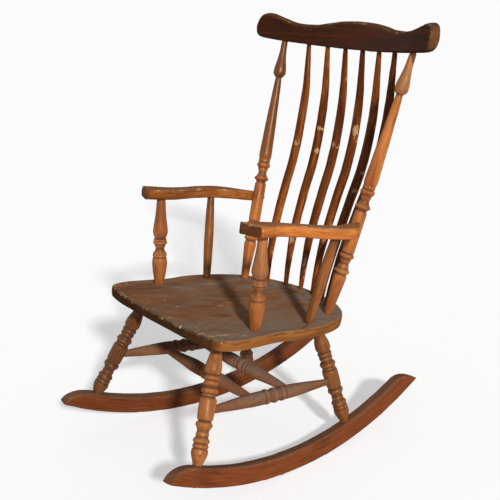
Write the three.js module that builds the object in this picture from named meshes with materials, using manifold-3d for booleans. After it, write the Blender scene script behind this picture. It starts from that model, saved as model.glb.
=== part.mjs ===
// A wooden rocking chair of the Boston type, in millimetres, +Z up.
// The sitter faces -Y. Right-hand pieces lie on +X, as one sees them from in front.
import * as THREE from 'three';
import { mergeVertices } from 'three/addons/utils/BufferGeometryUtils.js';
import Module from 'manifold-3d';

const wasm = await Module();
wasm.setup();

// Fits
const clearance = 0.3;
const overrun = 14;
const neckRun = 7;

// Seat: a plank that rises towards the front
const seatWidth = 528;
const seatDepth = 534;
const seatFrontReach = 323;
const seatThickness = 34;
const seatHeight = 381;
const seatSlope = 7.9;
const seatTopRound = 3;
const seatEdgeBand = 26;
const seatEdgeDraft = 2;
// How much thinner the front edge is in its middle, and how much of the underside is flat
const seatFrontHollow = 4;
const seatFlatShare = 0.8;
const seatOutlineRuns = 28;
// Half of the seat's outline, front to back: shares of the half width and of the depth
const seatOutlineShares = [
  [0, 0], [0.3, 0.002], [0.55, 0.009], [0.76, 0.026], [0.9, 0.046], [0.972, 0.088], [1, 0.16],
  [0.985, 0.25], [0.962, 0.34], [0.962, 0.42], [0.985, 0.5], [0.972, 0.59], [0.935, 0.7],
  [0.845, 0.805], [0.71, 0.882], [0.555, 0.937], [0.39, 0.973], [0.2, 0.994], [0, 1],
];

// Rockers: sawn planks that lean in at the top and toe in towards the rear
const rockerRadius = 895;
const rockerHeight = 47.5;
const rockerThickness = 33.5;
const rockerFrontReach = 468;
const rockerRearReach = 431;
const rockerHalfSpacing = 231.5;
// The rockers bear on the floor this far ahead of y = 0, under the chair's balance point
const rockerBearing = 10;
const rockerLean = 8.6;
const rockerTread = 14;
const rockerToe = 3.3;
const rockerEdgeRound = 4;
const rockerNoseLength = 66;
const rockerTailLength = 58;
const rockerPitch = 36;
// The blunt nose and the pointed tail: share of their length from the tip, share of the height
const rockerNoseShares = [[0, 0.14], [0.04, 0.34], [0.15, 0.55], [0.33, 0.74], [0.62, 0.91]];
const rockerTailShares = [[0, 0.05], [0.14, 0.35], [0.4, 0.66], [0.68, 0.88]];

// Legs
const legRadius = 20.6;
const legFootTenon = { radius: 9.2, depth: 27 };
const legSeatTenon = { radius: 12.3, depth: 20 };
const frontLegFootReach = 363;
const rearLegFootReach = 135;
const legFootInset = 3;
const frontLegSeatShares = [0.637, 0.158];
const rearLegSeatShares = [0.606, 0.762];
const legProfileShares = [
  [0.05, 0.69], [0.105, 1], [0.137, 0.96], [0.151, 0.83], [0.178, 0.945], [0.194, 0.85],
  [0.21, 0.945], [0.228, 0.82], [0.258, 0.78], [0.285, 0.83], [0.3, 0.95], [0.313, 0.99],
  [0.328, 0.94], [0.342, 0.9], [0.365, 0.95], [0.45, 0.985], [0.53, 0.965], [0.545, 0.76],
  [0.565, 0.76], [0.585, 0.94], [0.602, 0.97], [0.625, 0.86], [0.645, 0.96], [0.661, 0.86],
  [0.677, 0.96], [0.695, 0.86], [0.76, 0.95], [0.805, 1], [0.86, 0.965], [0.913, 0.85],
];

// Rocker pins, one through each leg's foot
const rockerPinRadius = 3;
const rockerPinLength = 24;
const rockerPinDepth = 15;

// Stretchers
const stretcherRadius = 19;
const sideStretcherTenon = { radius: 7.5, depth: 13 };
const crossStretcherTenon = { radius: 6.5, depth: 9 };
const sideStretcherFrontShare = 0.432;
const sideStretcherRearShare = 0.422;
const crossFrontShare = 0.35;
const crossRearShare = 0.64;
const sideStretcherShares = [
  [0.06, 0.56], [0.25, 0.83], [0.36, 0.93], [0.395, 0.92], [0.41, 0.82], [0.432, 1],
  [0.455, 0.84], [0.476, 0.86], [0.5, 1], [0.524, 0.86], [0.545, 0.84], [0.568, 1], [0.59, 0.82],
  [0.605, 0.92], [0.66, 0.9], [0.78, 0.76], [0.95, 0.5],
];
const crossStretcherShares = [
  [0.05, 0.54], [0.2, 0.72], [0.36, 0.94], [0.415, 0.94], [0.43, 0.82], [0.446, 0.92],
  [0.46, 0.82], [0.48, 0.96], [0.5, 1], [0.52, 0.96], [0.54, 0.82], [0.554, 0.92], [0.57, 0.82],
  [0.585, 0.94], [0.64, 0.94], [0.8, 0.72], [0.95, 0.54],
];

// Back posts
const backPostRadius = 18.8;
const backPostShaftRadius = 16.4;
const backPostFootTenon = { radius: 8, depth: 20 };
const backPostTopTenon = { radius: 7.2, depth: 28 };
const backPostSeatShares = [0.674, 0.8];
const backPostTopSpread = 246;
// Share of the post's length and share of its largest radius, below and above the plain shaft
const backPostLowerShares = [
  [0.055, 0.65], [0.1, 0.8], [0.152, 0.91], [0.161, 0.85], [0.172, 1], [0.186, 0.84],
  [0.204, 0.71], [0.218, 0.8], [0.2295, 0.94], [0.24, 0.82],
];
const backPostShaftShares = [0.25, 0.412];
const backPostUpperShares = [
  [0.4205, 1], [0.431, 0.81], [0.444, 0.64], [0.459, 0.75], [0.476, 0.93], [0.488, 0.83],
  [0.5, 0.9], [0.52, 0.94], [0.57, 0.89], [0.644, 0.73], [0.757, 0.54], [0.846, 0.38],
  [0.853, 0.62], [0.866, 0.88], [0.883, 0.87], [0.9, 0.78], [0.925, 0.62], [0.96, 0.46],
];

// Back spindles: flattened sticks, bent to follow the sitter's back
const spindleCount = 6;
const spindleTenon = { radius: 5, depth: 16 };
const spindleWidth = 29;
const spindleDepth = 18.5;
const spindleBow = 32;
const spindleOutwardBow = 12;
const spindleTopPitch = 66;
const spindleFootPitch = 50;
const spindleFootSeatShare = 0.958;
const spindleFootArcRadius = 205;
const spindleSegments = 8;
// Share of the height, share of the backward bow, share of the outward bow
const spindleBowShares = [
  [0, 0, 0], [0.09, -0.1, 0.28], [0.18, -0.08, 0.52], [0.28, 0.1, 0.74], [0.4, 0.45, 0.88],
  [0.53, 0.9, 1], [0.62, 1, 0.98], [0.72, 0.93, 0.8], [0.81, 0.74, 0.48], [0.91, 0.36, 0.2], [1, 0, 0],
];
// Share of the height, share of the full width, share of the full depth
const spindleSizeShares = [
  [0, 0.4, 0.65], [0.09, 0.55, 0.85], [0.28, 0.92, 1], [0.53, 1, 1], [0.72, 0.94, 0.95],
  [0.91, 0.62, 0.78], [1, 0.4, 0.65],
];

// Crest rail: sawn to a bow in plan, with an ear at each end
const crestHalfLength = 334;
const crestBowRadius = 775;
const crestThickness = 26;
const crestHeight = 72.5;
const crestUnderside = 1007.5;
const crestSetback = 355;
const crestLean = 15;
const crestEdgeRound = 5;
// Share of the half length, lower edge and upper edge as shares of the height
const crestOutlineShares = [
  [0, 0, 1], [0.17, 0.01, 0.975], [0.32, 0.03, 0.89], [0.44, 0.055, 0.815], [0.55, 0.085, 0.8],
  [0.65, 0.12, 0.845], [0.75, 0.16, 0.975], [0.83, 0.2, 1.1], [0.88, 0.23, 1.175],
  [0.925, 0.26, 1.2], [0.96, 0.28, 1.165], [0.983, 0.32, 1.07], [0.996, 0.41, 0.92],
  [1, 0.55, 0.78],
];

// Arms: each swings out and comes back in to butt against the outside of its back post
const armThickness = 28.5;
const armWidth = 61;
const armBow = 53;
const armSlope = 10.65;
const armHeight = 637;
const armNoseReach = 57;
const armTailReach = -8;
const armHousing = 4;
const armEdgeRound = 5;
// Share of the length, share of the bow, share of the width
const armPlanShares = [
  [0, 0.22, 0.35], [0.03, 0.19, 0.75], [0.06, 0.19, 0.9], [0.093, 0.21, 1], [0.133, 0.2, 1],
  [0.17, 0.16, 0.92], [0.242, 0.16, 0.79], [0.306, 0.25, 0.73], [0.378, 0.39, 0.66],
  [0.439, 0.54, 0.65], [0.505, 0.72, 0.71], [0.567, 0.85, 0.745], [0.638, 0.95, 0.745],
  [0.702, 0.98, 0.76], [0.745, 0.94, 0.84], [0.79, 0.86, 0.92], [0.838, 0.75, 0.89],
  [0.872, 0.61, 0.73], [0.907, 0.42, 0.58], [0.944, 0.23, 0.42], [1, 0.04, 0.2],
];

// Arm posts and arm spindles
const armPostRadius = 20.2;
const armPostFootTenon = { radius: 11.5, depth: 20 };
const armPostTopTenon = { radius: 9.6, depth: 15 };
const armPostSeatShares = [0.807, 0.296];
const armPostLean = [6, 24];
const armPostShares = [
  [0.085, 0.765], [0.17, 0.92], [0.245, 1], [0.28, 0.89], [0.295, 0.85], [0.322, 0.95],
  [0.355, 0.77], [0.415, 0.58], [0.455, 0.77], [0.485, 0.945], [0.503, 0.77], [0.525, 0.69],
  [0.56, 0.87], [0.61, 1], [0.68, 0.92], [0.75, 0.79], [0.86, 0.64],
];
const armSpindleRadius = 13;
const armSpindleTenon = { radius: 8, depth: 14 };
const armSpindleSeatShares = [0.833, 0.605];
const armSpindleLean = [39, 51];
const armSpindleShares = [[0.06, 0.8], [0.3, 0.96], [0.5, 1], [0.75, 0.93], [0.94, 0.78]];

// Dowels driven from behind through the back posts into the arms
const armDowelRadius = 4;
const armDowelLength = 60;
const armDowelProud = 1.2;
const armDowelTurn = 46;

// Facets round each turned piece, and round each socket
const turnedSides = 12;
const slimSides = 10;
const socketSides = 10;

const degrees = (angle) => THREE.MathUtils.degToRad(angle);
const mix = THREE.MathUtils.lerp;
const v3 = (x, y, z) => new THREE.Vector3(x, y, z);
const along = (from, to, share) => from.clone().lerp(to, share);
const sides = [['right', 1], ['left', -1]];

// Finishes
const finish = (name, color, roughness) => new THREE.MeshStandardMaterial({ name, color, roughness, metalness: 0 });
const seatWood = finish('seat_wood', '#7a6048', 0.62);
const turnedWood = finish('turned_wood', '#a8622f', 0.38);
const spindleWood = finish('spindle_wood', '#7c431f', 0.45);
const crestWood = finish('crest_wood', '#431a0f', 0.5);
const rockerWood = finish('rocker_wood', '#87471f', 0.5);
const stretcherWood = finish('stretcher_wood', '#8c6243', 0.6);
const armWood = finish('arm_wood', '#9c5b2c', 0.45);
const pinWood = finish('pin_wood', '#6b3a1c', 0.6);

const chair = new THREE.Group();

// Turns a closed mesh inside out where its faces point inwards
function facingOut(geometry) {
  const solid = geometry.index ? geometry : mergeVertices(geometry);
  const p = solid.attributes.position;
  const index = solid.index.array;
  const corner = (i) => new THREE.Vector3().fromBufferAttribute(p, index[i]);
  let volume = 0;
  for (let i = 0; i < index.length; i += 3) {
    volume += corner(i).dot(corner(i + 1).cross(corner(i + 2)));
  }
  if (volume < 0) {
    for (let i = 0; i < index.length; i += 3) {
      [index[i], index[i + 1]] = [index[i + 1], index[i]];
    }
  }
  return solid;
}

function bare(geometry) {
  const copy = geometry.clone();
  for (const name of Object.keys(copy.attributes)) {
    if (name !== 'position') copy.deleteAttribute(name);
  }
  return facingOut(mergeVertices(copy));
}

function toSolid(geometry) {
  const closed = bare(geometry);
  const vertProperties = new Float32Array(closed.attributes.position.array);
  const triVerts = new Uint32Array(closed.index.array);
  return new wasm.Manifold(new wasm.Mesh({ numProp: 3, vertProperties, triVerts }));
}

function fromSolid(solid) {
  const mesh = solid.getMesh();
  const geometry = new THREE.BufferGeometry();
  geometry.setAttribute('position', new THREE.BufferAttribute(mesh.vertProperties, 3));
  geometry.setIndex(new THREE.BufferAttribute(mesh.triVerts, 1));
  geometry.computeVertexNormals();
  return geometry;
}

// Cuts shapes given in the chair's frame out of a placed piece
function carve(piece, cutters) {
  piece.updateMatrix();
  const inverse = piece.matrix.clone().invert();
  let solid = toSolid(piece.geometry);
  for (const cutter of cutters) {
    solid = solid.subtract(toSolid(cutter.clone().applyMatrix4(inverse)));
  }
  piece.geometry = fromSolid(solid);
}

// A closed skin over a run of rings that all have the same number of points
function loft(rings) {
  const count = rings[0].length;
  const points = rings.flat();
  const index = [];
  for (let r = 0; r < rings.length - 1; r += 1) {
    for (let i = 0; i < count; i += 1) {
      const a = r * count + i;
      const b = r * count + ((i + 1) % count);
      index.push(a, b, b + count, a, b + count, a + count);
    }
  }
  const last = (rings.length - 1) * count;
  for (let i = 1; i < count - 1; i += 1) {
    index.push(0, i + 1, i, last, last + i, last + i + 1);
  }
  const geometry = new THREE.BufferGeometry().setFromPoints(points);
  geometry.setIndex(index);
  return bare(geometry);
}

function addPiece(name, geometry, material) {
  const mesh = new THREE.Mesh(geometry, material.clone());
  mesh.name = name;
  chair.add(mesh);
  return mesh;
}

const upY = v3(0, 1, 0);

// A lathe-turned piece between two points, with a round tenon at each end
function turned(name, from, to, rows, footTenon, topTenon, facets, material) {
  const length = from.distanceTo(to);
  const outline = [
    [0, -footTenon.depth], [footTenon.radius, -footTenon.depth], [footTenon.radius, neckRun],
    ...rows.filter(([y]) => y > neckRun && y < length - neckRun).map(([y, r]) => [r, y]),
    [topTenon.radius, length - neckRun], [topTenon.radius, length + topTenon.depth],
    [0, length + topTenon.depth],
  ];
  const points = outline.map(([r, y]) => new THREE.Vector2(r, y));
  const mesh = addPiece(name, bare(new THREE.LatheGeometry(points, facets)), material);
  mesh.position.copy(from);
  mesh.quaternion.setFromUnitVectors(upY, to.clone().sub(from).normalize());
  return mesh;
}

const scaledRows = (shares, length, radius) => shares.map(([t, r]) => [t * length, r * radius]);

// A round cutter from one point to another, whose flats clear a pin of its radius
function rod(from, to, radius) {
  const length = from.distanceTo(to);
  const corner = radius / Math.cos(Math.PI / socketSides);
  const shape = new THREE.CylinderGeometry(corner, corner, length, socketSides);
  const turn = new THREE.Quaternion().setFromUnitVectors(upY, to.clone().sub(from).normalize());
  const middle = along(from, to, 1 / 2);
  return shape.applyMatrix4(new THREE.Matrix4().compose(middle, turn, v3(1, 1, 1)));
}

// The socket for a tenon that enters at a mouth and points along a direction
function socket(mouth, inward, tenon) {
  const deep = mouth.clone().addScaledVector(inward, tenon.depth + clearance);
  const out = mouth.clone().addScaledVector(inward, -overrun);
  return rod(deep, out, tenon.radius + clearance);
}

const direction = (from, to) => to.clone().sub(from).normalize();
const mirrored = (point, side) => v3(point.x * side, point.y, point.z);

// Seat frame: the point under the front reach, on the top face
const slope = degrees(seatSlope);
const seatBack = v3(0, Math.cos(slope), -Math.sin(slope));
const seatUp = v3(0, Math.sin(slope), Math.cos(slope));
function onSeat([halfShare, depthShare], drop = 0) {
  const reach = depthShare * seatDepth - seatFrontReach;
  return v3((halfShare * seatWidth) / 2, 0, seatHeight)
    .addScaledVector(seatBack, reach)
    .addScaledVector(seatUp, -drop);
}

function seatOutline() {
  const half = new THREE.SplineCurve(
    seatOutlineShares.map(([x, y]) => new THREE.Vector2((x * seatWidth) / 2, y * seatDepth)),
  ).getPoints(seatOutlineRuns);
  return [...half, ...half.slice(1, -1).reverse().map((p) => new THREE.Vector2(-p.x, p.y))];
}

const seatPlace = (x, y, drop) =>
  v3(x, 0, seatHeight).addScaledVector(seatBack, y - seatFrontReach).addScaledVector(seatUp, -drop);

// The outline, drawn in by an inset; the drop is less by the hollow in the middle of the front
function seatRing(drop, inset, hollow = 0) {
  const whole = seatOutline();
  return whole.map((p, i) => {
    const next = whole[(i + 1) % whole.length];
    const last = whole[(i + whole.length - 1) % whole.length];
    const run = next.clone().sub(last).normalize();
    const ahead = Math.max(0, 1 - (4 * p.y) / seatDepth);
    const lift = hollow * ahead * Math.cos((p.x / seatWidth) * Math.PI) ** 2;
    return seatPlace(p.x - run.y * inset, p.y + run.x * inset, drop - lift);
  });
}

// The flat of the underside, inside the long bevel that runs to the edge
function seatFlat() {
  const middle = seatDepth / 2;
  return seatOutline().map((p) =>
    seatPlace(p.x * seatFlatShare, mix(middle, p.y, seatFlatShare), seatThickness));
}

const seat = addPiece('seat', loft([
  seatRing(0, seatTopRound),
  seatRing(seatTopRound, 0),
  seatRing(seatEdgeBand, seatEdgeDraft, seatFrontHollow),
  seatFlat(),
]), seatWood);

// Rocker frame: x across the plank, y along it from where it bears, z up
function rockerPlace(side) {
  const turn = new THREE.Quaternion().setFromAxisAngle(v3(0, 0, 1), degrees(rockerToe) * side);
  const place = v3(rockerHalfSpacing * side, -rockerBearing, 0);
  return new THREE.Matrix4().compose(place, turn, v3(1, 1, 1));
}

// A point of the rocker: arc length from where it bears, place across the leaning plank from
// its middle, height up its side from the sole as it was sawn
const lean = degrees(rockerLean);
const rockerWear = rockerTread * Math.sin(lean);
function rockerPoint(arc, across, up, side) {
  const x = across * Math.cos(lean) - up * Math.sin(lean);
  const height = (across + rockerThickness / 2) * Math.sin(lean) + up * Math.cos(lean) - rockerWear;
  const angle = arc / rockerRadius;
  const reach = rockerRadius - height;
  return v3(x * side, reach * Math.sin(angle), rockerRadius - reach * Math.cos(angle));
}

// The sole is worn level along its inner edge, where the leaning plank bears on the floor
function rockerRing([arc, heightShare], side) {
  const high = rockerHeight * heightShare;
  const round = Math.min(rockerEdgeRound, high / 3);
  const tread = Math.min(rockerTread, 2 * high);
  const half = rockerThickness / 2;
  const corners = [
    [-half, tread * Math.tan(lean)], [tread - half, 0], [half, 0], [half, high - round],
    [half - round, high], [round - half, high], [-half, high - round],
  ];
  return corners.map(([across, up]) => rockerPoint(arc, across, up, side));
}

// Rings along the rocker; the flat between the middle two lies level on the floor
function rockerStations() {
  const nose = rockerNoseShares.map(([t, h]) => [t * rockerNoseLength - rockerFrontReach, h]);
  const tail = rockerTailShares.map(([t, h]) => [rockerRearReach - t * rockerTailLength, h]);
  const from = rockerNoseLength - rockerFrontReach;
  const to = rockerRearReach - rockerTailLength;
  const body = [[from, 1]];
  for (let i = Math.floor(from / rockerPitch); i * rockerPitch < to; i += 1) {
    const arc = (i + 1 / 2) * rockerPitch;
    if (arc > from + rockerPitch / 3 && arc < to - rockerPitch / 3) body.push([arc, 1]);
  }
  return [...nose, ...body, [to, 1], ...tail.reverse()];
}

const footOf = {};
for (const [word, side] of sides) {
  const rings = rockerStations().map((station) => rockerRing(station, side));
  const rocker = addPiece(`rocker_${word}`, loft(rings), rockerWood);
  rocker.applyMatrix4(rockerPlace(side));
  for (const [end, reach] of [['front', -frontLegFootReach], ['rear', rearLegFootReach]]) {
    const angle = Math.asin((reach + rockerBearing) / (rockerRadius - rockerHeight));
    const mouth = rockerPoint(angle * rockerRadius, -legFootInset, rockerHeight, side);
    footOf[`${end}_${word}`] = mouth.applyMatrix4(rockerPlace(side));
  }
}

const piece = (name) => chair.getObjectByName(name);

// Legs, from the rockers up into the seat
for (const [word, side] of sides) {
  const across = v3(side, 0, 0).applyAxisAngle(v3(0, 0, 1), degrees(rockerToe) * side);
  for (const [end, shares] of [['front', frontLegSeatShares], ['rear', rearLegSeatShares]]) {
    const foot = footOf[`${end}_${word}`];
    const top = mirrored(onSeat(shares, seatThickness), side);
    const up = direction(foot, top);
    const rows = scaledRows(legProfileShares, foot.distanceTo(top), legRadius);
    const leg = turned(`leg_${end}_${word}`, foot, top, rows, legFootTenon, legSeatTenon, turnedSides, turnedWood);
    carve(seat, [socket(top, up, legSeatTenon)]);
    carve(piece(`rocker_${word}`), [socket(foot, up.clone().negate(), legFootTenon)]);

    // The pin lies across the rocker and the leg's foot
    const centre = foot.clone().addScaledVector(up, -rockerPinDepth);
    const start = centre.clone().addScaledVector(across, rockerPinLength / 2);
    const finishPoint = centre.clone().addScaledVector(across, -rockerPinLength / 2);
    const grow = clearance;
    const hole = rod(
      start.clone().addScaledVector(across, grow),
      finishPoint.clone().addScaledVector(across, -grow),
      rockerPinRadius + clearance,
    );
    const pinShape = new THREE.CylinderGeometry(rockerPinRadius, rockerPinRadius, rockerPinLength, slimSides);
    const pin = addPiece(`rocker_pin_${end}_${word}`, bare(pinShape), pinWood);
    pin.position.copy(centre);
    pin.quaternion.setFromUnitVectors(upY, across);
    carve(piece(`rocker_${word}`), [hole]);
    carve(leg, [hole]);
  }
}

// A stretcher between two round pieces, tenoned into both
function stretcher(name, from, to, fromRadius, toRadius, tenon, shares, carriers) {
  const way = direction(from, to);
  const start = from.clone().addScaledVector(way, fromRadius);
  const end = to.clone().addScaledVector(way, -toRadius);
  const rows = scaledRows(shares, start.distanceTo(end), stretcherRadius);
  turned(name, start, end, rows, tenon, tenon, slimSides, stretcherWood);
  carve(carriers[0], [socket(start, way.clone().negate(), tenon)]);
  carve(carriers[1], [socket(end, way, tenon)]);
}

const legTop = (end, word, side) =>
  mirrored(onSeat(end === 'front' ? frontLegSeatShares : rearLegSeatShares, seatThickness), side);
const stretcherEnds = {};
for (const [word, side] of sides) {
  const from = along(footOf[`front_${word}`], legTop('front', word, side), sideStretcherFrontShare);
  const to = along(footOf[`rear_${word}`], legTop('rear', word, side), sideStretcherRearShare);
  stretcherEnds[word] = [from, to];
  stretcher(`side_stretcher_${word}`, from, to, legRadius, legRadius, sideStretcherTenon,
    sideStretcherShares, [piece(`leg_front_${word}`), piece(`leg_rear_${word}`)]);
}
for (const [end, share] of [['front', crossFrontShare], ['rear', crossRearShare]]) {
  const from = along(...stretcherEnds.left, share);
  const to = along(...stretcherEnds.right, share);
  stretcher(`cross_stretcher_${end}`, from, to, stretcherRadius, stretcherRadius, crossStretcherTenon,
    crossStretcherShares, [piece('side_stretcher_left'), piece('side_stretcher_right')]);
}

// Crest frame: place across, height above the underside's middle, place through the thickness
const crestTilt = Math.tan(degrees(crestLean));
function crestPoint(x, height, through = 0) {
  const bow = crestBowRadius - Math.sqrt(crestBowRadius ** 2 - x ** 2);
  const out = Math.asin(x / crestBowRadius);
  return v3(
    x + through * Math.sin(out),
    crestSetback - bow + height * crestTilt + through * Math.cos(out),
    crestUnderside + height,
  );
}

function crestEdges(x) {
  const t = Math.abs(x) / crestHalfLength;
  const i = Math.max(1, crestOutlineShares.findIndex(([s]) => s >= t - Number.EPSILON));
  const [t0, low0, high0] = crestOutlineShares[i - 1];
  const [t1, low1, high1] = crestOutlineShares[i];
  const s = (t - t0) / (t1 - t0);
  return [mix(low0, low1, s) * crestHeight, mix(high0, high1, s) * crestHeight];
}

function crestRing(x) {
  const [low, high] = crestEdges(x);
  const half = crestThickness / 2;
  const round = Math.min(crestEdgeRound, (high - low) / 4);
  const corners = [
    [low, round - half], [low + round, -half], [high - round, -half], [high, round - half],
    [high, half - round], [high - round, half], [low + round, half], [low, half - round],
  ];
  return corners.map(([height, through]) => crestPoint(x, height, through));
}

const halfStations = crestOutlineShares.map(([t]) => t * crestHalfLength);
const crestStations = [...halfStations.slice(1).map((x) => -x).reverse(), ...halfStations];
const crest = addPiece('crest_rail', loft(crestStations.map(crestRing)), crestWood);
const crestUnder = (x) => crestPoint(x, crestEdges(x)[0]);

// Back posts, from the seat up into the crest rail
const postFoot = (side) => mirrored(onSeat(backPostSeatShares), side);
const postTop = (side) => crestUnder(backPostTopSpread * side);
for (const [word, side] of sides) {
  const foot = postFoot(side);
  const top = postTop(side);
  const length = foot.distanceTo(top);
  const rows = [
    ...scaledRows(backPostLowerShares, length, backPostRadius),
    ...backPostShaftShares.map((t) => [t * length, backPostShaftRadius]),
    ...scaledRows(backPostUpperShares, length, backPostRadius),
  ];
  turned(`back_post_${word}`, foot, top, rows, backPostFootTenon, backPostTopTenon, turnedSides, turnedWood);
  const up = direction(foot, top);
  carve(seat, [socket(foot, up.clone().negate(), backPostFootTenon)]);
  carve(crest, [socket(top, up, backPostTopTenon)]);
}

// Value of a table of shares at t, by straight runs between its rows
function tableAt(table, t, column) {
  const i = Math.max(1, table.findIndex(([s]) => s >= t - Number.EPSILON));
  const [low, high] = [table[i - 1], table[i]];
  return mix(low[column], high[column], (t - low[0]) / (high[0] - low[0]));
}

// Back spindles: an oval section carried along a bent path
function spindleRing(centre, way, width, depth) {
  const across = v3(1, 0, 0).addScaledVector(way, -way.x).normalize();
  const through = way.clone().cross(across);
  return Array.from({ length: spindleSegments }, (_, i) => {
    const turn = (Math.PI * 2 * (i + 1 / 2)) / spindleSegments;
    return centre.clone()
      .addScaledVector(across, (Math.cos(turn) * width) / 2)
      .addScaledVector(through, (Math.sin(turn) * depth) / 2);
  });
}

for (let i = 0; i < spindleCount; i += 1) {
  const place = i - (spindleCount - 1) / 2;
  const x = place * spindleFootPitch;
  const sag = spindleFootArcRadius - Math.sqrt(spindleFootArcRadius ** 2 - x ** 2);
  const foot = onSeat([0, spindleFootSeatShare]).addScaledVector(seatBack, -sag);
  foot.x = x;
  const top = crestUnder(place * spindleTopPitch);
  const outward = (2 * place * spindleOutwardBow) / (spindleCount - 1);
  const bow = (t, column) => tableAt(spindleBowShares, t, column);
  const path = (t) => along(foot, top, t).add(v3(bow(t, 2) * outward, bow(t, 1) * spindleBow, 0));
  const stations = spindleBowShares.map(([t]) => t);
  const points = stations.map(path);
  const ways = points.map((p, k) => direction(points[Math.max(k - 1, 0)], points[Math.min(k + 1, points.length - 1)]));
  const round = spindleTenon.radius * 2;
  const footWay = ways[0];
  const topWay = ways[ways.length - 1];
  const tenonRing = (point, way, out) => spindleRing(point.clone().addScaledVector(way, out), way, round, round);
  const rings = [
    tenonRing(foot, footWay, -spindleTenon.depth),
    tenonRing(foot, footWay, neckRun / 2),
    ...stations.slice(1, -1).map((t, k) => spindleRing(
      points[k + 1], ways[k + 1],
      tableAt(spindleSizeShares, t, 1) * spindleWidth, tableAt(spindleSizeShares, t, 2) * spindleDepth,
    )),
    tenonRing(top, topWay, -neckRun / 2),
    tenonRing(top, topWay, spindleTenon.depth),
  ];
  addPiece(`back_spindle_${i + 1}`, loft(rings), spindleWood);
  carve(seat, [socket(foot, footWay.clone().negate(), spindleTenon)]);
  carve(crest, [socket(top, topWay, spindleTenon)]);
}

// Arm frame: s along the underside from the front post's top, rising through the thickness
const armTilt = degrees(armSlope);
const armBack = v3(0, Math.cos(armTilt), -Math.sin(armTilt));
const armUp = v3(0, Math.sin(armTilt), Math.cos(armTilt));
const armPostFoot = onSeat(armPostSeatShares);
const armPostTop = v3(armPostFoot.x + armPostLean[0], armPostFoot.y + armPostLean[1], armHeight);
const armPoint = (x, s, lift = 0) =>
  v3(x, armPostTop.y, armPostTop.z).addScaledVector(armBack, s).addScaledVector(armUp, lift);

// Where the back post's axis passes the middle of the arm's thickness
function postAtArm() {
  const foot = postFoot(1);
  const way = direction(foot, postTop(1));
  const middle = armPoint(0, 0, armThickness / 2);
  const reach = middle.clone().sub(foot).dot(armUp) / way.dot(armUp);
  return foot.addScaledVector(way, reach);
}
const crossing = postAtArm();
const armCrossing = crossing.clone().sub(armPostTop).dot(armBack);
const armEnd = armCrossing + armTailReach;
const armLength = armNoseReach + armEnd;
const armTailX = crossing.x + backPostShaftRadius - armHousing;
const armCentre = (t) => mix(armPostTop.x, armTailX, t) + tableAt(armPlanShares, t, 1) * armBow;

function armRing([t, , widthShare], side) {
  const s = t * armLength - armNoseReach;
  const half = (widthShare * armWidth) / 2;
  const round = armEdgeRound;
  const corners = [
    [round - half, 0], [half - round, 0], [half, round], [half, armThickness - round],
    [half - round, armThickness], [round - half, armThickness], [-half, armThickness - round],
    [-half, round],
  ];
  return corners.map(([across, lift]) => mirrored(armPoint(armCentre(t) + across, s, lift), side));
}

for (const [word, side] of sides) {
  const arm = addPiece(`arm_${word}`, loft(armPlanShares.map((row) => armRing(row, side))), armWood);

  // The arm's end is hollowed to fit the back post
  const foot = postFoot(side);
  const up = direction(foot, postTop(side));
  const middle = mirrored(crossing, side);
  const reach = armThickness + overrun;
  const low = middle.clone().addScaledVector(up, -reach);
  const high = middle.clone().addScaledVector(up, reach);
  carve(arm, [rod(low, high, backPostShaftRadius + clearance)]);

  // A dowel joins the two; its head stands a little proud behind the post
  const out = v3(side * Math.sin(degrees(armDowelTurn)), 0, 0)
    .addScaledVector(armBack, -Math.cos(degrees(armDowelTurn)));
  const start = middle.clone().addScaledVector(out, -backPostShaftRadius - armDowelProud);
  const end = start.clone().addScaledVector(out, armDowelLength);
  const hole = rod(
    start.clone().addScaledVector(out, -overrun), end.clone().addScaledVector(out, clearance),
    armDowelRadius + clearance,
  );
  const dowelShape = new THREE.CylinderGeometry(armDowelRadius, armDowelRadius, armDowelLength, slimSides);
  const dowel = addPiece(`arm_dowel_${word}`, bare(dowelShape), pinWood);
  dowel.position.copy(along(start, end, 1 / 2));
  dowel.quaternion.setFromUnitVectors(upY, out);
  carve(arm, [hole]);
  carve(piece(`back_post_${word}`), [hole]);

  // The turned post under the front of the arm
  const postFrom = mirrored(armPostFoot, side);
  const postTo = mirrored(armPostTop, side);
  const postRows = scaledRows(armPostShares, postFrom.distanceTo(postTo), armPostRadius);
  turned(`arm_post_${word}`, postFrom, postTo, postRows, armPostFootTenon, armPostTopTenon, turnedSides, turnedWood);
  const postUp = direction(postFrom, postTo);
  carve(seat, [socket(postFrom, postUp.clone().negate(), armPostFootTenon)]);
  carve(arm, [socket(postTo, postUp, armPostTopTenon)]);

  // The plain spindle under the middle of the arm
  const spindleFoot = onSeat(armSpindleSeatShares);
  const s = spindleFoot.y + armSpindleLean[1] - armPostTop.y;
  const spindleTop = armPoint(spindleFoot.x + armSpindleLean[0], s / Math.cos(armTilt));
  const from = mirrored(spindleFoot, side);
  const to = mirrored(spindleTop, side);
  const rows = scaledRows(armSpindleShares, from.distanceTo(to), armSpindleRadius);
  turned(`arm_spindle_${word}`, from, to, rows, armSpindleTenon, armSpindleTenon, slimSides, spindleWood);
  const spindleUp = direction(from, to);
  carve(seat, [socket(from, spindleUp.clone().negate(), armSpindleTenon)]);
  carve(arm, [socket(to, spindleUp, armSpindleTenon)]);
}

// The origin is the middle of the bounding box, on the floor
const bounds = new THREE.Box3().setFromObject(chair, true);
const centre = bounds.getCenter(v3(0, 0, 0));
chair.position.set(-centre.x, -centre.y, -bounds.min.z);

export default chair;
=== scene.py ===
import math
from collections import namedtuple

import bpy
import numpy as np
from bpy.props import FloatProperty, FloatVectorProperty, IntProperty, PointerProperty
from mathutils import Matrix, Vector


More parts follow.
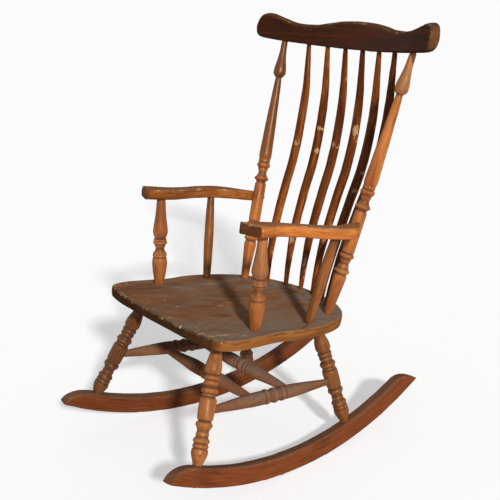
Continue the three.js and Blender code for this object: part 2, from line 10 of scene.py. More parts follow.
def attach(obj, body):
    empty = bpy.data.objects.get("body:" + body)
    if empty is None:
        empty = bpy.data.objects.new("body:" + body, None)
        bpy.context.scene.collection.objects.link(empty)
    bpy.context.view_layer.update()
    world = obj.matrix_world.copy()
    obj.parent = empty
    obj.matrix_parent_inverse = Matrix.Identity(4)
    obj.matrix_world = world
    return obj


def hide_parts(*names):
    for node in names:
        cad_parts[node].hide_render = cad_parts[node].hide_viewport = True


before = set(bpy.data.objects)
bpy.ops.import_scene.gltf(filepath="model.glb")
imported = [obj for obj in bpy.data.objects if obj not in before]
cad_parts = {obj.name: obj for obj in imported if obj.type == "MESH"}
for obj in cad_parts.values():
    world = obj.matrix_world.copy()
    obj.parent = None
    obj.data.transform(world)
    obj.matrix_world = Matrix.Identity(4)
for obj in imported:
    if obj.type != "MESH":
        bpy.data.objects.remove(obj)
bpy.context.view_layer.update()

bl_info = {
    "name": "Turned rocking chair",
    "version": (1, 0, 0),
    "blender": (4, 5, 0),
    "location": "3D Viewport > Sidebar > Rocking chair",
    "description": "Dresses the frame of a worn wooden rocking chair with bent spindles",
    "category": "Add Mesh",
}

SIDES = (("right", 1.0), ("left", -1.0))
BOTH = [word for word, _ in SIDES]

# The seat's outline, front to back: shares of the half width and of the depth
SEAT_OUTLINE = (
    (0, 0), (0.3, 0.002), (0.55, 0.009), (0.76, 0.026), (0.9, 0.046), (0.972, 0.088), (1, 0.16),
    (0.985, 0.25), (0.962, 0.34), (0.962, 0.42), (0.985, 0.5), (0.972, 0.59), (0.935, 0.7),
    (0.845, 0.805), (0.71, 0.882), (0.555, 0.937), (0.39, 0.973), (0.2, 0.994), (0, 1),
)
# The rocker's ends: share of the nose's or the tail's length from the tip, share of the height
ROCKER_NOSE = ((0, 0.14), (0.04, 0.34), (0.15, 0.55), (0.33, 0.74), (0.62, 0.91), (1, 1))
ROCKER_TAIL = ((0, 0.05), (0.14, 0.35), (0.4, 0.66), (0.68, 0.88), (1, 1))
# Turned pieces: share of the length, share of the largest radius
LEG_ROWS = (
    (0, 0.54), (0.02, 0.6), (0.055, 0.8), (0.105, 0.98), (0.128, 0.95), (0.138, 0.8), (0.153, 0.94),
    (0.176, 0.74), (0.199, 0.98), (0.216, 0.84), (0.231, 0.72), (0.249, 0.76), (0.27, 0.68), (0.3, 0.82),
    (0.322, 1), (0.342, 0.92), (0.354, 0.74), (0.37, 0.93), (0.45, 0.985), (0.518, 1), (0.536, 0.95),
    (0.548, 0.74), (0.56, 0.86), (0.574, 0.74), (0.596, 1.02), (0.614, 0.93), (0.622, 0.78), (0.637, 0.7),
    (0.663, 0.87), (0.683, 0.71), (0.704, 0.92), (0.724, 0.74), (0.74, 0.88), (0.768, 0.99), (0.81, 0.95),
    (0.86, 0.8), (0.9, 0.7), (0.95, 0.62), (1, 0.58),
)
SIDE_STRETCHER_ROWS = (
    (0, 0.44), (0.06, 0.56), (0.25, 0.83), (0.36, 0.93), (0.398, 0.92), (0.41, 0.79), (0.432, 1.01),
    (0.452, 0.8), (0.47, 0.86), (0.48, 0.82), (0.5, 1.02), (0.52, 0.82), (0.53, 0.86), (0.548, 0.8),
    (0.568, 1.01), (0.588, 0.79), (0.6, 0.92), (0.66, 0.9), (0.78, 0.76), (0.95, 0.5), (1, 0.42),
)
CROSS_STRETCHER_ROWS = (
    (0, 0.42), (0.05, 0.54), (0.2, 0.72), (0.36, 0.94), (0.415, 0.94), (0.428, 0.78), (0.446, 0.94),
    (0.462, 0.78), (0.48, 0.94), (0.5, 1), (0.52, 0.94), (0.538, 0.78), (0.554, 0.94), (0.572, 0.78),
    (0.585, 0.94), (0.64, 0.94), (0.8, 0.72), (0.95, 0.54), (1, 0.42),
)
BACK_POST_ROWS = (
    (0, 0.54), (0.055, 0.67), (0.1, 0.8), (0.148, 0.92), (0.154, 0.88), (0.16, 0.76), (0.172, 1.06),
    (0.183, 0.8), (0.188, 0.78), (0.203, 0.62), (0.216, 0.73), (0.221, 0.72), (0.231, 1.02), (0.24, 0.76),
    (0.246, 0.86), (0.26, 0.875), (0.35, 0.865), (0.398, 0.84), (0.408, 0.7), (0.422, 1.08), (0.433, 0.8),
    (0.447, 0.61), (0.462, 0.73), (0.467, 0.72), (0.479, 1), (0.489, 0.76), (0.495, 0.88), (0.501, 0.84),
    (0.52, 0.94), (0.55, 0.92), (0.59, 0.87), (0.622, 0.835), (0.687, 0.74), (0.752, 0.635), (0.809, 0.55),
    (0.838, 0.48), (0.846, 0.45), (0.853, 0.7), (0.866, 0.93), (0.883, 0.9), (0.9, 0.8), (0.925, 0.64),
    (0.96, 0.5), (1, 0.44),
)
ARM_POST_ROWS = (
    (0, 0.6), (0.065, 0.73), (0.17, 0.92), (0.25, 1), (0.307, 0.93), (0.32, 0.82), (0.337, 0.95),
    (0.349, 0.85), (0.363, 0.95), (0.377, 0.78), (0.422, 0.58), (0.462, 0.74), (0.47, 0.72), (0.49, 0.95),
    (0.507, 0.8), (0.521, 0.89), (0.536, 0.73), (0.57, 0.86), (0.62, 1), (0.68, 0.93), (0.75, 0.81),
    (0.86, 0.66), (1, 0.54),
)
ARM_SPINDLE_ROWS = ((0, 0.76), (0.06, 0.82), (0.3, 0.96), (0.5, 1), (0.75, 0.93), (0.94, 0.78), (1, 0.72))
# Back spindles: share of the height, then shares of the backward bow, the outward bow, width and depth
SPINDLE_BOW = (
    (0, 0, 0), (0.09, -0.1, 0.28), (0.18, -0.08, 0.52), (0.28, 0.1, 0.74), (0.4, 0.45, 0.88),
    (0.53, 0.9, 1), (0.62, 1, 0.98), (0.72, 0.93, 0.8), (0.81, 0.74, 0.48), (0.91, 0.36, 0.2), (1, 0, 0),
)
SPINDLE_SIZE = (
    (0, 0.4, 0.65), (0.09, 0.55, 0.85), (0.28, 0.92, 1), (0.53, 1, 1), (0.72, 0.94, 0.95),
    (0.91, 0.62, 0.78), (1, 0.4, 0.65),
)
# Bare scuffs on the back spindles: number of the spindle, place along it and length, as shares
SPINDLE_SCUFFS = (
    (1, 0.58, 0.035), (2, 0.655, 0.014), (2, 0.565, 0.02), (3, 0.6, 0.025), (4, 0.68, 0.045),
    (5, 0.45, 0.02), (5, 0.52, 0.014), (2, 0.2, 0.035), (3, 0.12, 0.05), (4, 0.22, 0.05),
)
# The crest rail: share of the half length, lower and upper edge as shares of the height
CREST_OUTLINE = (
    (0, 0, 1), (0.17, 0.01, 0.975), (0.32, 0.03, 0.89), (0.44, 0.055, 0.815), (0.55, 0.085, 0.8),
    (0.65, 0.12, 0.845), (0.75, 0.16, 0.975), (0.83, 0.2, 1.1), (0.88, 0.23, 1.175),
    (0.925, 0.26, 1.2), (0.96, 0.3, 1.165), (0.983, 0.37, 1.07), (0.996, 0.48, 0.92), (1, 0.6, 0.78),
)
# The arms: share of the length, share of the bow, share of the width
ARM_PLAN = (
    (0, -0.247, 0.2), (0.018, -0.075, 0.5), (0.036, 0.098, 0.8), (0.047, 0.184, 0.95), (0.06, 0.213, 1),
    (0.093, 0.21, 1), (0.133, 0.2, 1), (0.17, 0.16, 0.92), (0.242, 0.16, 0.79), (0.306, 0.25, 0.73),
    (0.378, 0.39, 0.66), (0.439, 0.54, 0.65), (0.505, 0.72, 0.71), (0.567, 0.85, 0.745),
    (0.638, 0.95, 0.745), (0.702, 0.98, 0.76), (0.745, 0.94, 0.84), (0.79, 0.86, 0.92),
    (0.838, 0.75, 0.89), (0.872, 0.61, 0.73), (0.907, 0.42, 0.58), (0.944, 0.23, 0.42), (1, 0.04, 0.2),
)
PIN_ROWS = ((0.04, 1), (0.96, 1))
# Rings of the seat: over its top, rounding, band, bevel and flat underside; the share of the outline at
# which the innermost one lies; and points round the outline and along each run of a loop
SEAT_RINGS, INNERMOST, OUTLINE_POINTS, RUN_POINTS = (74, 9, 16, 14, 14), 0.02, 420, 24
# Rings of a rocker's nose, plain part and tail, and how much closer they lie at its two tips
ROCKER_RINGS, CLOSER_AT_NOSE, CLOSER_AT_TAIL = (40, 150, 34), 1.6, 1.3
# Rings of the crest rail, and how much closer they lie at its ends
CREST_RINGS, CLOSER_AT_ENDS = 300, 1.5
# Rings of an arm, up to the end of its first part and beyond; that part's share; how much closer at the tip
ARM_RINGS, FIRST_PART, CLOSER_AT_TIP = (60, 150), 0.25, 1.4
# Rings of a back spindle, points round it, how far its ends reach into seat and rail as a share of its
# length, and the power that flattens its oval
SPINDLE_RINGS, SPINDLE_AROUND, SPINDLE_OVERRUN, OVAL_POWER = 260, 28, 0.012, 0.85
# Steps round a softened corner and along a side between two of them
ROCKER_STEPS, CREST_STEPS, ARM_STEPS = (5, 5), (8, 9), (9, 8)
# In metres: corner of a rocker's top, depth of its chips, the strip of bare wood at the crest rail's end,
# how near its end a point of a CAD piece belongs to its end face, and an arm's gap to the back post
ROCKER_CORNER, CHIP_DEPTH, BARE_END, END_FACE, POST_GAP = 0.004, 0.0012, 0.012, 0.0002, 0.0001

# Kinds of turned piece. Each has its rows, the size that is its largest radius, radius and depth of the
# tenons at its foot and top, its finish, the axis along which its foot lies lower, and the tone and the
# dust of each piece, as one number or as rows of place along it and share. The darker tones of the legs and
# of the far left back post's upper part are painted shade
TURNINGS = {
    # The legs are darker with painted shade, most at the rear and on the far left
    "leg": (
        LEG_ROWS, "leg_radius", ((0.0092, 0.027), (0.0123, 0.020)), "turned_wood", 2,
        {"front_right": (-0.45, 0), "rear_right": (-1.1, 0),
         "front_left": (-1.45, 0), "rear_left": (-1.3, 0)}),
    "side_stretcher": (
        SIDE_STRETCHER_ROWS, "stretcher_radius", ((0.0075, 0.013),) * 2, "stretcher_wood", 1,
        dict.fromkeys(BOTH, (-0.6, ((0, 0.2), (0.3, 0.7), (0.7, 0.7), (1, 0.2))))),
    "cross_stretcher": (
        CROSS_STRETCHER_ROWS, "stretcher_radius", ((0.0065, 0.009),) * 2, "stretcher_wood", 0,
        {"front": (-0.1, 0.5), "rear": (0.4, 1)}),
    # The far left back post's upper part is darker with painted shade
    "back_post": (
        BACK_POST_ROWS, "back_post_radius", ((0.008, 0.020), (0.0072, 0.028)), "turned_wood", 2,
        {"right": (0.1, ((0, 0.2), (0.25, 0.2), (0.3, 0), (0.845, 0), (0.86, 1.1), (1, 0.9))),
         "left": (((0, 0.1), (0.44, 0), (0.56, -1.1), (1, -1.3)), 0)}),
    "arm_post": (
        ARM_POST_ROWS, "arm_post_radius", ((0.0115, 0.020), (0.0096, 0.015)), "turned_wood", 2,
        {"right": (0.25, ((0, 0.1), (0.45, 0.25), (0.6, 0.9), (1, 0.9))), "left": (-0.2, 0.2)}),
    "arm_spindle": (
        ARM_SPINDLE_ROWS, "arm_spindle_radius", ((0.008, 0.014),) * 2, "turned_wood", 2,
        dict.fromkeys(BOTH, (((0, -1.3), (0.1, -0.95), (0.7, -0.8), (1, -1.3)), 0))),
    "rocker_pin": (
        PIN_ROWS, "pin_radius", ((0.0021, 0.001),) * 2, "pin_wood", 0,
        dict.fromkeys(("front_right", "front_left", "rear_right", "rear_left"), (0, 0))),
    "arm_dowel": (
        PIN_ROWS, "dowel_radius", ((0.0028, 0.001),) * 2, "pin_wood", 0, dict.fromkeys(BOTH, (0, 0))),
}
# Unevenness, as waves that are added up: length in metres, seed, height in metres or as a share, and the
# squeeze of the coordinates where the waves are drawn out
WAVES = {
    "turned dents": ((0.045, 5, 0.00022), (0.012, 6, 0.00009)),
    "seat splinters": ((0.011, 21, 1, (1, 0.35, 1)), (0.004, 22, 0.4)),
    "seat planing": ((0.09, 23, 0.0004), (0.016, 24, 0.00012, (1, 0.2, 1))),
    "seat flakes": ((0.014, 25, 1, (0.4, 1, 1)), (0.006, 26, 0.6, (0.6, 1, 1))),
    "seat dust": ((0.11, 27, 1, (1, 0.5, 1)), (0.035, 33, 0.8, (1, 0.4, 1))),
    "saddle dirt": ((0.05, 28, 0.45),),
    "crack depth": ((0.045, 29, 0.003), (0.012, 30, 0.0015)),
    "crack ends": ((0.06, 31, 1),),
    "seat smudges": ((0.09, 32, 0.3, (1, 0.4, 1)), (0.03, 34, 0.35, (1, 0.35, 1))),
    "rocker sides": ((0.05, 31, 0.0004),),
    "rocker top": ((0.07, 32, 0.0004),),
    "rocker chips": ((0.03, 33, 1),),
    "crest edges": ((0.06, 41, 0.0005),),
    "crest corners": ((0.012, 42, 0.0002),),
    "crest faces": ((0.05, 43, 0.0004),),
    "back spindles": ((0.05, 51, 0.0003),),
    "arm faces": ((0.06, 61, 0.0005),),
    "arm sides": ((0.03, 62, 0.0004),),
}
# Flaws: the heights of their waves at which they start to show and at which they are at their full
LEVELS = {
    "splinters": (0.3, 0.85), "flakes": (0.25, 0.75), "front flecks": (0.55, 0.95),
    "flecks": (0.95, 1.25), "bare corner": (-0.5, 0.3), "edge_shade_line": (-0.2, 0.25), "rocker chips": (0.55, 0.9),
}
# The saddled part of the seat: its rim's place in the middle and how far the rim comes forward at the
# sides, as shares of the depth, and half the width of the step down, in metres
SADDLE_RIM, RIM_FORWARD, SADDLE_STEP = 0.90, 0.42, 0.004
# Shares of the outline between which the saddle runs out, and beyond which the front is hollowed
SADDLE_FADE, HOLLOWED = (1.0, 0.93), 0.98
# Worn zones of the seat, from where they start to where they are at their full: metres back from the front
# edge, shares of the outline, and metres to the right of the middle
SPLINTERED, NEAR_FRONT, OUTERMOST, FLAKED_RIM = (0.075, 0.01), (0.19, 0.06), (0.96, 1.0), (0.82, 0.97)
DUSTY_SIDE, SETTLED_SIDE = (-0.06, 0.16), (0.02, 0.16)
# The corner that has lost its lacquer: its middle and its reach, across and back from the front edge
BARE_CORNER, CORNER_REACH = (0.165, 0.022), (0.05, 0.016)
# The broken line of painted shade under the seat's upper edge, the line of dirt at the saddle's rim and half
# the width over which dust starts behind it, in metres
EDGE_SHADE_DROP, EDGE_SHADE_WIDTH, DIRT_WIDTH, DUST_START = 0.006, 0.0016, 0.005, 0.012
# Splinters go in by a share of their depth. Wear of the seat's rounding and how much more in front, and of
# splinters, flecks and the bare corner
SPLINTER_IN, ROUNDING_WEAR, FRONT_WEAR = 0.8, 0.3, 0.45
SPLINTER_WEAR, FLECK_WEAR, CORNER_WEAR = 0.9, 0.8, 1.3
# Dust behind the saddle, on the right and in drifts, how much less drifts count on the right, and the mean
# of the dirt in the saddle's line
BACK_DUST, SIDE_DUST, DRIFT_DUST, SETTLED, LINE_DIRT = 0.7, 0.8, 0.9, 0.55, 0.55
# Tones of the seat's top and how much darker it is near the front, and how much painted light the band has
# on its right side and how much painted shade in front
TOP_TONE, FRONT_DARKER, SIDE_PAINTED_LIGHT, FRONT_PAINTED_SHADE = 0.1, 0.35, 0.2, 1.6
# The crest rail: wear of its lower and upper edges, how much more the upper ones have on the right, and the
# lighter tone of its bare end, for bare wood and painted light, its dust, and how much darker its left part
# is
LOWER_WEAR, UPPER_WEAR, RIGHT_WEAR, BARE_END_LIGHT, BARE_DUST, LEFT_DARKER = 0.3, 0.75, 0.2, 2.1, 0.9, 0.5
# Metres to the right of the middle between which that wear grows, and the left part's dark
RIGHT_PART, LEFT_PART = (-0.15, 0.05), (-0.05, -0.3)
# Back spindles: wear of their narrow sides, of their rubbed part and of a scuff, and how far round a scuff
# goes; the rubbed part's painted light, the last one's painted shade, and each other one's darker tone in
# turn
NARROW_WEAR, RUBBED_WEAR, SCUFF_WEAR, SCUFFED_SIDE = 0.4, 0.35, 1.2, (0.1, 1)
RUBBED_PAINTED_LIGHT, LAST_PAINTED_SHADE, NEXT_DARKER = 0.9, 0.45, 0.06
# Beads and grooves of a turned piece: the length over which its radius is levelled and how far a full bead
# stands above that level, in metres, the wear of a full bead and the grime in a groove of that depth
LEVELLED, FULL_BEAD, BEAD_WEAR, GROOVE_GRIME = 0.018, 0.0018, 0.6, 1.3
# Directions askew to pieces that lie and to pieces that stand, and the upward part of a standing one's
ASKEW, STANDING = ((0.31, 0.22, 0.9), (0.9, 0.31, 0.22)), 0.8
# Roundings of the crest rail's and the arms' edges, over the one that is given, as a corner's curve cuts
# inside its reach; and how far down the seat's band splinters reach, as a share of it
CREST_SOFTNESS, ARM_SOFTNESS, SPLINTER_REACH = 1.6, 1.5, 0.6
# Rockers and arms: wear of a rocker's corners, and the tones by side; an arm's nose is darker by the second,
# with handling and painted shade
ROCKER_WEAR, ROCKER_TONES = 0.75, {"right": 0.0, "left": -0.3}
ARM_TONES_AND_SHADE = {"right": (0.2, 1.8), "left": (-0.7, 0.6)}
# Wear of an arm's lower and upper edges, and the most that their rounding takes of its half width
ARM_LOWER_WEAR, ARM_UPPER_WEAR, ROUNDING_MOST = 0.3, 0.85, 0.8
# The arm's nose: middle and reach of its bare outer corner, and where its handled and shaded part fades out
# and its tip ends, as shares of the length; and how squarely a face looks forward to take handling and
# painted shade
NOSE_CORNER, NOSE_SHARE, TIP_SHARE, FACING_FRONT = (0.056, 0.009), (0.16, 0.08), (0.012, 0.002), (0.35, 0.85)
# Rubbed part of the back spindles, which also has painted light: shares of the height between which it
# fades, and the same round it
RUBBED_HEIGHT, RUBBED_SIDE = (0.42, 0.28), (-0.3, 0.7)
# Straight across the chair, to its right
ACROSS = np.array([1.0, 0.0, 0.0])


def length(name, description, default):
    """A length that the user may change, in metres."""
    return FloatProperty(name=name, description=description, default=default, unit="LENGTH", precision=4)


def share(name, description, default):
    """A plain number that the user may change."""
    return FloatProperty(name=name, description=description, default=default, precision=3)


def turn(name, description, default):
    """An angle that the user may change, kept in radians and given here in degrees."""
    return FloatProperty(
        name=name, description=description, default=math.radians(default), unit="ROTATION", subtype="ANGLE")


def linear(code):
    """Scene-linear red, green and blue of a six-digit sRGB code: the sRGB curve undone on each channel."""
    values = np.array([int(code[i:i + 2], 16) for i in (1, 3, 5)]) / 255
    return tuple(np.where(values <= 0.04045, values / 12.92, ((values + 0.055) / 1.055) ** 2.4).tolist())


def colour(name, description, code):
    """A colour that the user may change, given here as an sRGB code."""
    return FloatVectorProperty(
        name=name, description=description, default=linear(code), subtype="COLOR", min=0, max=1)


class SeatSizes(bpy.types.PropertyGroup):
    width: length("Width", "Widest width of the seat", 0.528)
    depth: length("Depth", "Seat from front to back, along its top", 0.534)
    front_reach: length("Front reach", "Front edge ahead of the chair's datum, along the top", 0.323)
    thickness: length("Thickness", "Thickness of the plank", 0.034)
    height: length("Height", "Top face above the floor, at the datum", 0.381)
    slope: turn("Slope", "Fall of the top from front to back", 7.9)
    edge_round: length("Edge rounding", "Rounding of the worn top edge", 0.0048)
    edge_band: length("Edge band", "Height of the upright part of the edge", 0.026)
    edge_draft: length("Edge draft", "How far the band leans in at its foot", 0.002)
    front_hollow: length("Front hollow", "How much thinner the middle of the front is", 0.004)
    flat_share: share("Flat share", "Share of the underside that is flat", 0.8)
    saddle_drop: length("Saddle drop", "How much lower the saddled part lies than the rear rim", 0.0016)
    chip_depth: length("Chip depth", "Depth of the splinters lost along the front edge", 0.0036)


class RockerSizes(bpy.types.PropertyGroup):
    radius: length("Radius", "Radius of the sole", 0.895)
    height: length("Height", "Height of the sawn plank", 0.0475)
    thickness: length("Thickness", "Thickness of the plank", 0.0335)
    front_reach: length("Front reach", "Nose ahead of the bearing point, along the arc", 0.468)
    rear_reach: length("Rear reach", "Tail behind the bearing point, along the arc", 0.431)
    half_spacing: length("Half spacing", "Middle of the sole from the mirror plane", 0.2315)
    bearing: length("Bearing", "Bearing point ahead of the datum", 0.010)
    lean: turn("Lean", "How far the plank leans in at its top", 8.6)
    toe: turn("Toe", "How far the rockers close towards the rear", 3.3)
    tread: length("Tread", "Width of the sole that is worn level", 0.014)
    nose_length: length("Nose length", "Length of the rounded nose", 0.066)
    tail_length: length("Tail length", "Length of the pointed tail", 0.058)
    edge_round: length("Edge rounding", "Rounding of the plank's edges", 0.003)


class TurningSizes(bpy.types.PropertyGroup):
    leg_radius: length("Leg radius", "Largest radius of a leg", 0.0206)
    stretcher_radius: length("Stretcher radius", "Largest radius of a stretcher", 0.019)
    back_post_radius: length("Back post radius", "Largest radius of a back post", 0.0188)
    arm_post_radius: length("Arm post radius", "Largest radius of an arm post", 0.0202)
    arm_spindle_radius: length("Arm spindle radius", "Largest radius of an arm spindle", 0.013)
    pin_radius: length("Pin radius", "Radius of a rocker pin", 0.003)
    dowel_radius: length("Dowel radius", "Radius of an arm dowel", 0.004)
    bead_run: length("Bead run", "A valley and a peak closer than this make a round bead", 0.009)
    step: length("Step", "Distance between the rings of a turned piece", 0.0009)
    around: IntProperty(
        name="Around", description="Points round each turned piece", default=40, min=8, max=96)


class CrestSizes(bpy.types.PropertyGroup):
    half_length: length("Half length", "Half of the rail's length across", 0.334)
    bow_radius: length("Bow radius", "Radius of the rail's curve in plan", 0.775)
    thickness: length("Thickness", "Thickness of the rail", 0.026)
    height: length("Height", "Height of the rail in its middle", 0.0725)
    underside: length("Underside", "Underside's middle above the floor", 1.0075)
    setback: length("Setback", "Underside's middle behind the datum", 0.355)
    lean: turn("Lean", "How far the rail leans back", 15.0)
    edge_round: length("Edge rounding", "Rounding of the rail's edges", 0.006)


class SpindleSizes(bpy.types.PropertyGroup):
    count: IntProperty(name="Count", description="Number of back spindles", default=6, min=2, max=12)
    width: length("Width", "Largest width of a spindle, across the chair", 0.029)
    depth: length("Depth", "Largest depth of a spindle", 0.0185)
    bow: length("Bow", "How far a spindle bends back", 0.032)
    outward_bow: length("Outward bow", "How far the outer spindles bend outwards", 0.012)
    top_pitch: length("Top pitch", "Distance between spindles at the crest rail", 0.066)
    foot_pitch: length("Foot pitch", "Distance between spindles at the seat", 0.050)
    foot_share: share("Foot place", "Middle of the row of feet, as a share of the seat's depth", 0.958)
    foot_arc: length("Foot arc", "Radius of the row of feet", 0.205)


class ArmSizes(bpy.types.PropertyGroup):
    thickness: length("Thickness", "Thickness of an arm", 0.0285)
    width: length("Width", "Widest width of an arm", 0.061)
    bow: length("Bow", "How far an arm swings out", 0.053)
    slope: turn("Slope", "Fall of an arm from front to back", 10.65)
    height: length("Height", "Underside above the floor, over the arm post", 0.637)
    nose_reach: length("Nose reach", "Arm ahead of its post", 0.057)
    tail_reach: length("Tail reach", "Arm's end behind the back post's axis", -0.008)
    housing: length("Housing", "How far the arm reaches into the back post", 0.004)
    edge_round: length("Edge rounding", "Rounding of an arm's edges", 0.0062)
    post_half_share: share("Post place across", "Arm post's foot, as a share of the half width", 0.807)
    post_depth_share: share("Post place along", "Arm post's foot, as a share of the depth", 0.296)
    post_lean_out: length("Post lean out", "How far the arm post's top stands out", 0.006)
    post_lean_back: length("Post lean back", "How far the arm post's top stands back", 0.024)
    back_post_radius: length("Back post radius", "Radius of the back post's plain shaft", 0.0164)


class FinishColours(bpy.types.PropertyGroup):
    seat_wood: colour("Seat", "Body colour of the seat", "#855428")
    rocker_wood: colour("Rockers", "Body colour of the rockers", "#773d1d")
    turned_wood: colour("Turned pieces", "Body colour of the legs and posts", "#b46b33")
    pin_wood: colour("Pins", "Body colour of the pins and dowels", "#6b3a1c")
    stretcher_wood: colour("Stretchers", "Body colour of the stretchers", "#8f5630")
    crest_wood: colour("Crest rail", "Body colour of the crest rail", "#361406")
    spindle_wood: colour("Spindles", "Body colour of the spindles", "#66300f")
    arm_wood: colour("Arms", "Body colour of the arms", "#b9692c")
    dustiness: share("Dustiness", "How much dust lies on faces that look up", 1.0)
    wear: share("Wear", "How much of the finish is rubbed off", 1.0)


class StageSettings(bpy.types.PropertyGroup):
    datum: FloatVectorProperty(
        name="Datum", description="Place of the chair's datum in the frame",
        default=(0.0, 0.026735, -0.000181), unit="LENGTH", precision=6)
    floor_size: length("Floor size", "Side of the square floor", 80.0)
    floor: colour("Floor", "Colour of the floor", "#e2e2e2")
    floor_glow: share("Floor glow", "White that the camera sees added to the floor", 0.44)
    sky: share("Sky", "Strength of the light from all round", 0.23)
    key: share("Key light", "Strength of the key light", 3.1)
    key_azimuth: turn("Key azimuth", "Bearing of the key light, from +X towards +Y", -22.5)
    key_elevation: turn("Key elevation", "Height of the key light above the floor", 28.0)
    key_softness: turn("Key softness", "Angle that the key light fills", 4.5)


class CameraSettings(bpy.types.PropertyGroup):
    aim: FloatVectorProperty(
        name="Aim", description="Point at the middle of the picture",
        default=(-0.004337, 0.019206, 0.517474), unit="LENGTH", precision=5)
    distance: length("Distance", "Camera from the point it looks at", 2.416822)
    azimuth: turn("Azimuth", "Bearing of the camera, from -Y towards +X", 52.533)
    elevation: turn("Elevation", "Height of the camera above the point, as an angle", 17.8806)
    roll: turn("Roll", "Turn of the camera about its line of sight", -1.0722)
    lens: FloatProperty(
        name="Lens", description="Focal length on a 36 mm sensor", default=66.24, unit="CAMERA")


class RockingChair(bpy.types.PropertyGroup):
    seat: PointerProperty(type=SeatSizes, name="Seat", description="Sizes of the seat")
    rocker: PointerProperty(type=RockerSizes, name="Rockers", description="Sizes of the rockers")
    turning: PointerProperty(type=TurningSizes, name="Turnings", description="Sizes of the turned pieces")
    crest: PointerProperty(type=CrestSizes, name="Crest rail", description="Sizes of the crest rail")
    spindle: PointerProperty(type=SpindleSizes, name="Spindles", description="Sizes of the back spindles")
    arm: PointerProperty(type=ArmSizes, name="Arms", description="Sizes of the arms")
    finish: PointerProperty(type=FinishColours, name="Finishes", description="Colours and age of the wood")
    stage: PointerProperty(type=StageSettings, name="Stage", description="Floor and light")
    camera: PointerProperty(type=CameraSettings, name="Camera", description="The photograph's view")


def unit(vectors):
    """Each vector divided by its own length."""
    vectors = np.asarray(vectors, float)
    return vectors / np.linalg.norm(vectors, axis=-1, keepdims=True)


def follow(table, t):
    """Columns of a table at t. Each run between two rows is a cubic whose slope at a row is the weighted
    harmonic mean of the slopes on its two sides, and level at a peak or a valley, so that it never
    overshoots."""
    rows = np.asarray(table, float)
    place, value = rows[:, 0], rows[:, 1:]
    gap = np.diff(place)[:, None]
    rise = np.diff(value, axis=0) / gap
    before, after = 2 * gap[1:] + gap[:-1], gap[1:] + 2 * gap[:-1]
    steady = rise[:-1] * rise[1:] > 0
    safe = np.where(steady, rise[:-1], 1), np.where(steady, rise[1:], 1)
    inner = np.where(steady, (before + after) / (before / safe[0] + after / safe[1]), 0)
    slope = np.vstack([rise[:1], inner, rise[-1:]])
    t = np.clip(t, place[0], place[-1])
    i = np.clip(np.searchsorted(place, t, side="right") - 1, 0, len(place) - 2)
    s = ((t - place[i]) / gap[i, 0])[:, None]
    start = value[i] * (2 * s**3 - 3 * s**2 + 1) + slope[i] * gap[i] * (s**3 - 2 * s**2 + s)
    end = value[i + 1] * (3 * s**2 - 2 * s**3) + slope[i + 1] * gap[i] * (s**3 - s**2)
    return start + end


def ease(low, high, t):
    """0 below low, 1 above high, and the smooth cubic 3s^2 - 2s^3 between them."""
    s = np.clip((t - low) / (high - low), 0, 1)
    return s * s * (3 - 2 * s)


def bell(t, middle, reach):
    """One in the middle, falling away on both sides as the exponential of minus the square of the distance
    in reaches."""
    return np.exp(-(((t - middle) / reach) ** 2))


def waves(name, points, seed_shift=0):
    """Unevenness of a surface. Each row of the table adds its height times the scaled mean of eight sine
    waves through space, whose directions, phases and lengths round the row's own come from a seeded
    generator."""
    total = 0
    for wavelength, seed, height, *squeeze in WAVES[name]:
        rng = np.random.default_rng(seed + seed_shift)
        ways = unit(rng.normal(size=(8, 3))) * rng.uniform(0.65, 1.5, (8, 1)) * 2 * math.pi / wavelength
        phases = rng.uniform(0, 2 * math.pi, 8)
        drawn = points * squeeze[0] if squeeze else points
        total = total + np.sin(drawn @ ways.T + phases).mean(axis=-1) * 1.8 * height
    return total


def soften(corners, radius, bend_steps, flat_steps):
    """Sections with rounded corners. Each corner of a closed section gives way to a quadratic curve that
    starts and ends its radius away along the two sides, and each side between is split evenly. Also
    returns how near each point is to a corner, 1 in its middle and 0 on the sides.
    corners is (sections, corners, 2)."""
    last, following = np.roll(corners, 1, axis=1), np.roll(corners, -1, axis=1)
    reach_back = np.linalg.norm(last - corners, axis=2, keepdims=True)
    reach_on = np.linalg.norm(following - corners, axis=2, keepdims=True)
    start = corners + (last - corners) * np.minimum(radius / reach_back, 0.45)
    end = corners + (following - corners) * np.minimum(radius / reach_on, 0.45)
    k = np.linspace(0, 1, bend_steps)[None, None, :, None]
    bends = (1 - k) ** 2 * start[:, :, None] + 2 * k * (1 - k) * corners[:, :, None] + k**2 * end[:, :, None]
    f = np.linspace(0, 1, flat_steps + 2)[1:-1][None, None, :, None]
    next_start = np.roll(start, -1, axis=1)
    flats = (1 - f) * end[:, :, None] + f * next_start[:, :, None]
    section = np.concatenate([bends, flats], axis=2).reshape(len(corners), -1, 2)
    bent = np.concatenate([4 * k[0, 0, :, 0] * (1 - k[0, 0, :, 0]), np.zeros(flat_steps)])
    return section, np.tile(bent, corners.shape[1])


def corner_rows(*pairs):
    """Corners of a section at each place along a piece, from a pair of columns for each corner."""
    return np.stack([np.stack(pair, axis=1) for pair in pairs], axis=1)


def box_corners(left, right, bottom, top):
    """Corners of a rectangle at each place along a piece, from four columns."""
    return corner_rows((left, bottom), (right, bottom), (right, top), (left, top))


def stacked(*columns):
    """Columns that may differ in shape, as the last axis of one grid."""
    return np.stack(np.broadcast_arrays(*columns), axis=-1)


def with_ends(grid):
    """A grid's values in rows, followed by the means of its first and last rings, where its ends close."""
    return np.vstack([grid.reshape(-1, grid.shape[2]), grid[0].mean(0), grid[-1].mean(0)])


def store(mesh, key, kind, field, rows):
    """Keeps one value for each point of the mesh."""
    layer = mesh.attributes.new(key, kind, "POINT")
    layer.data.foreach_set(field, rows.astype(np.float32).ravel())


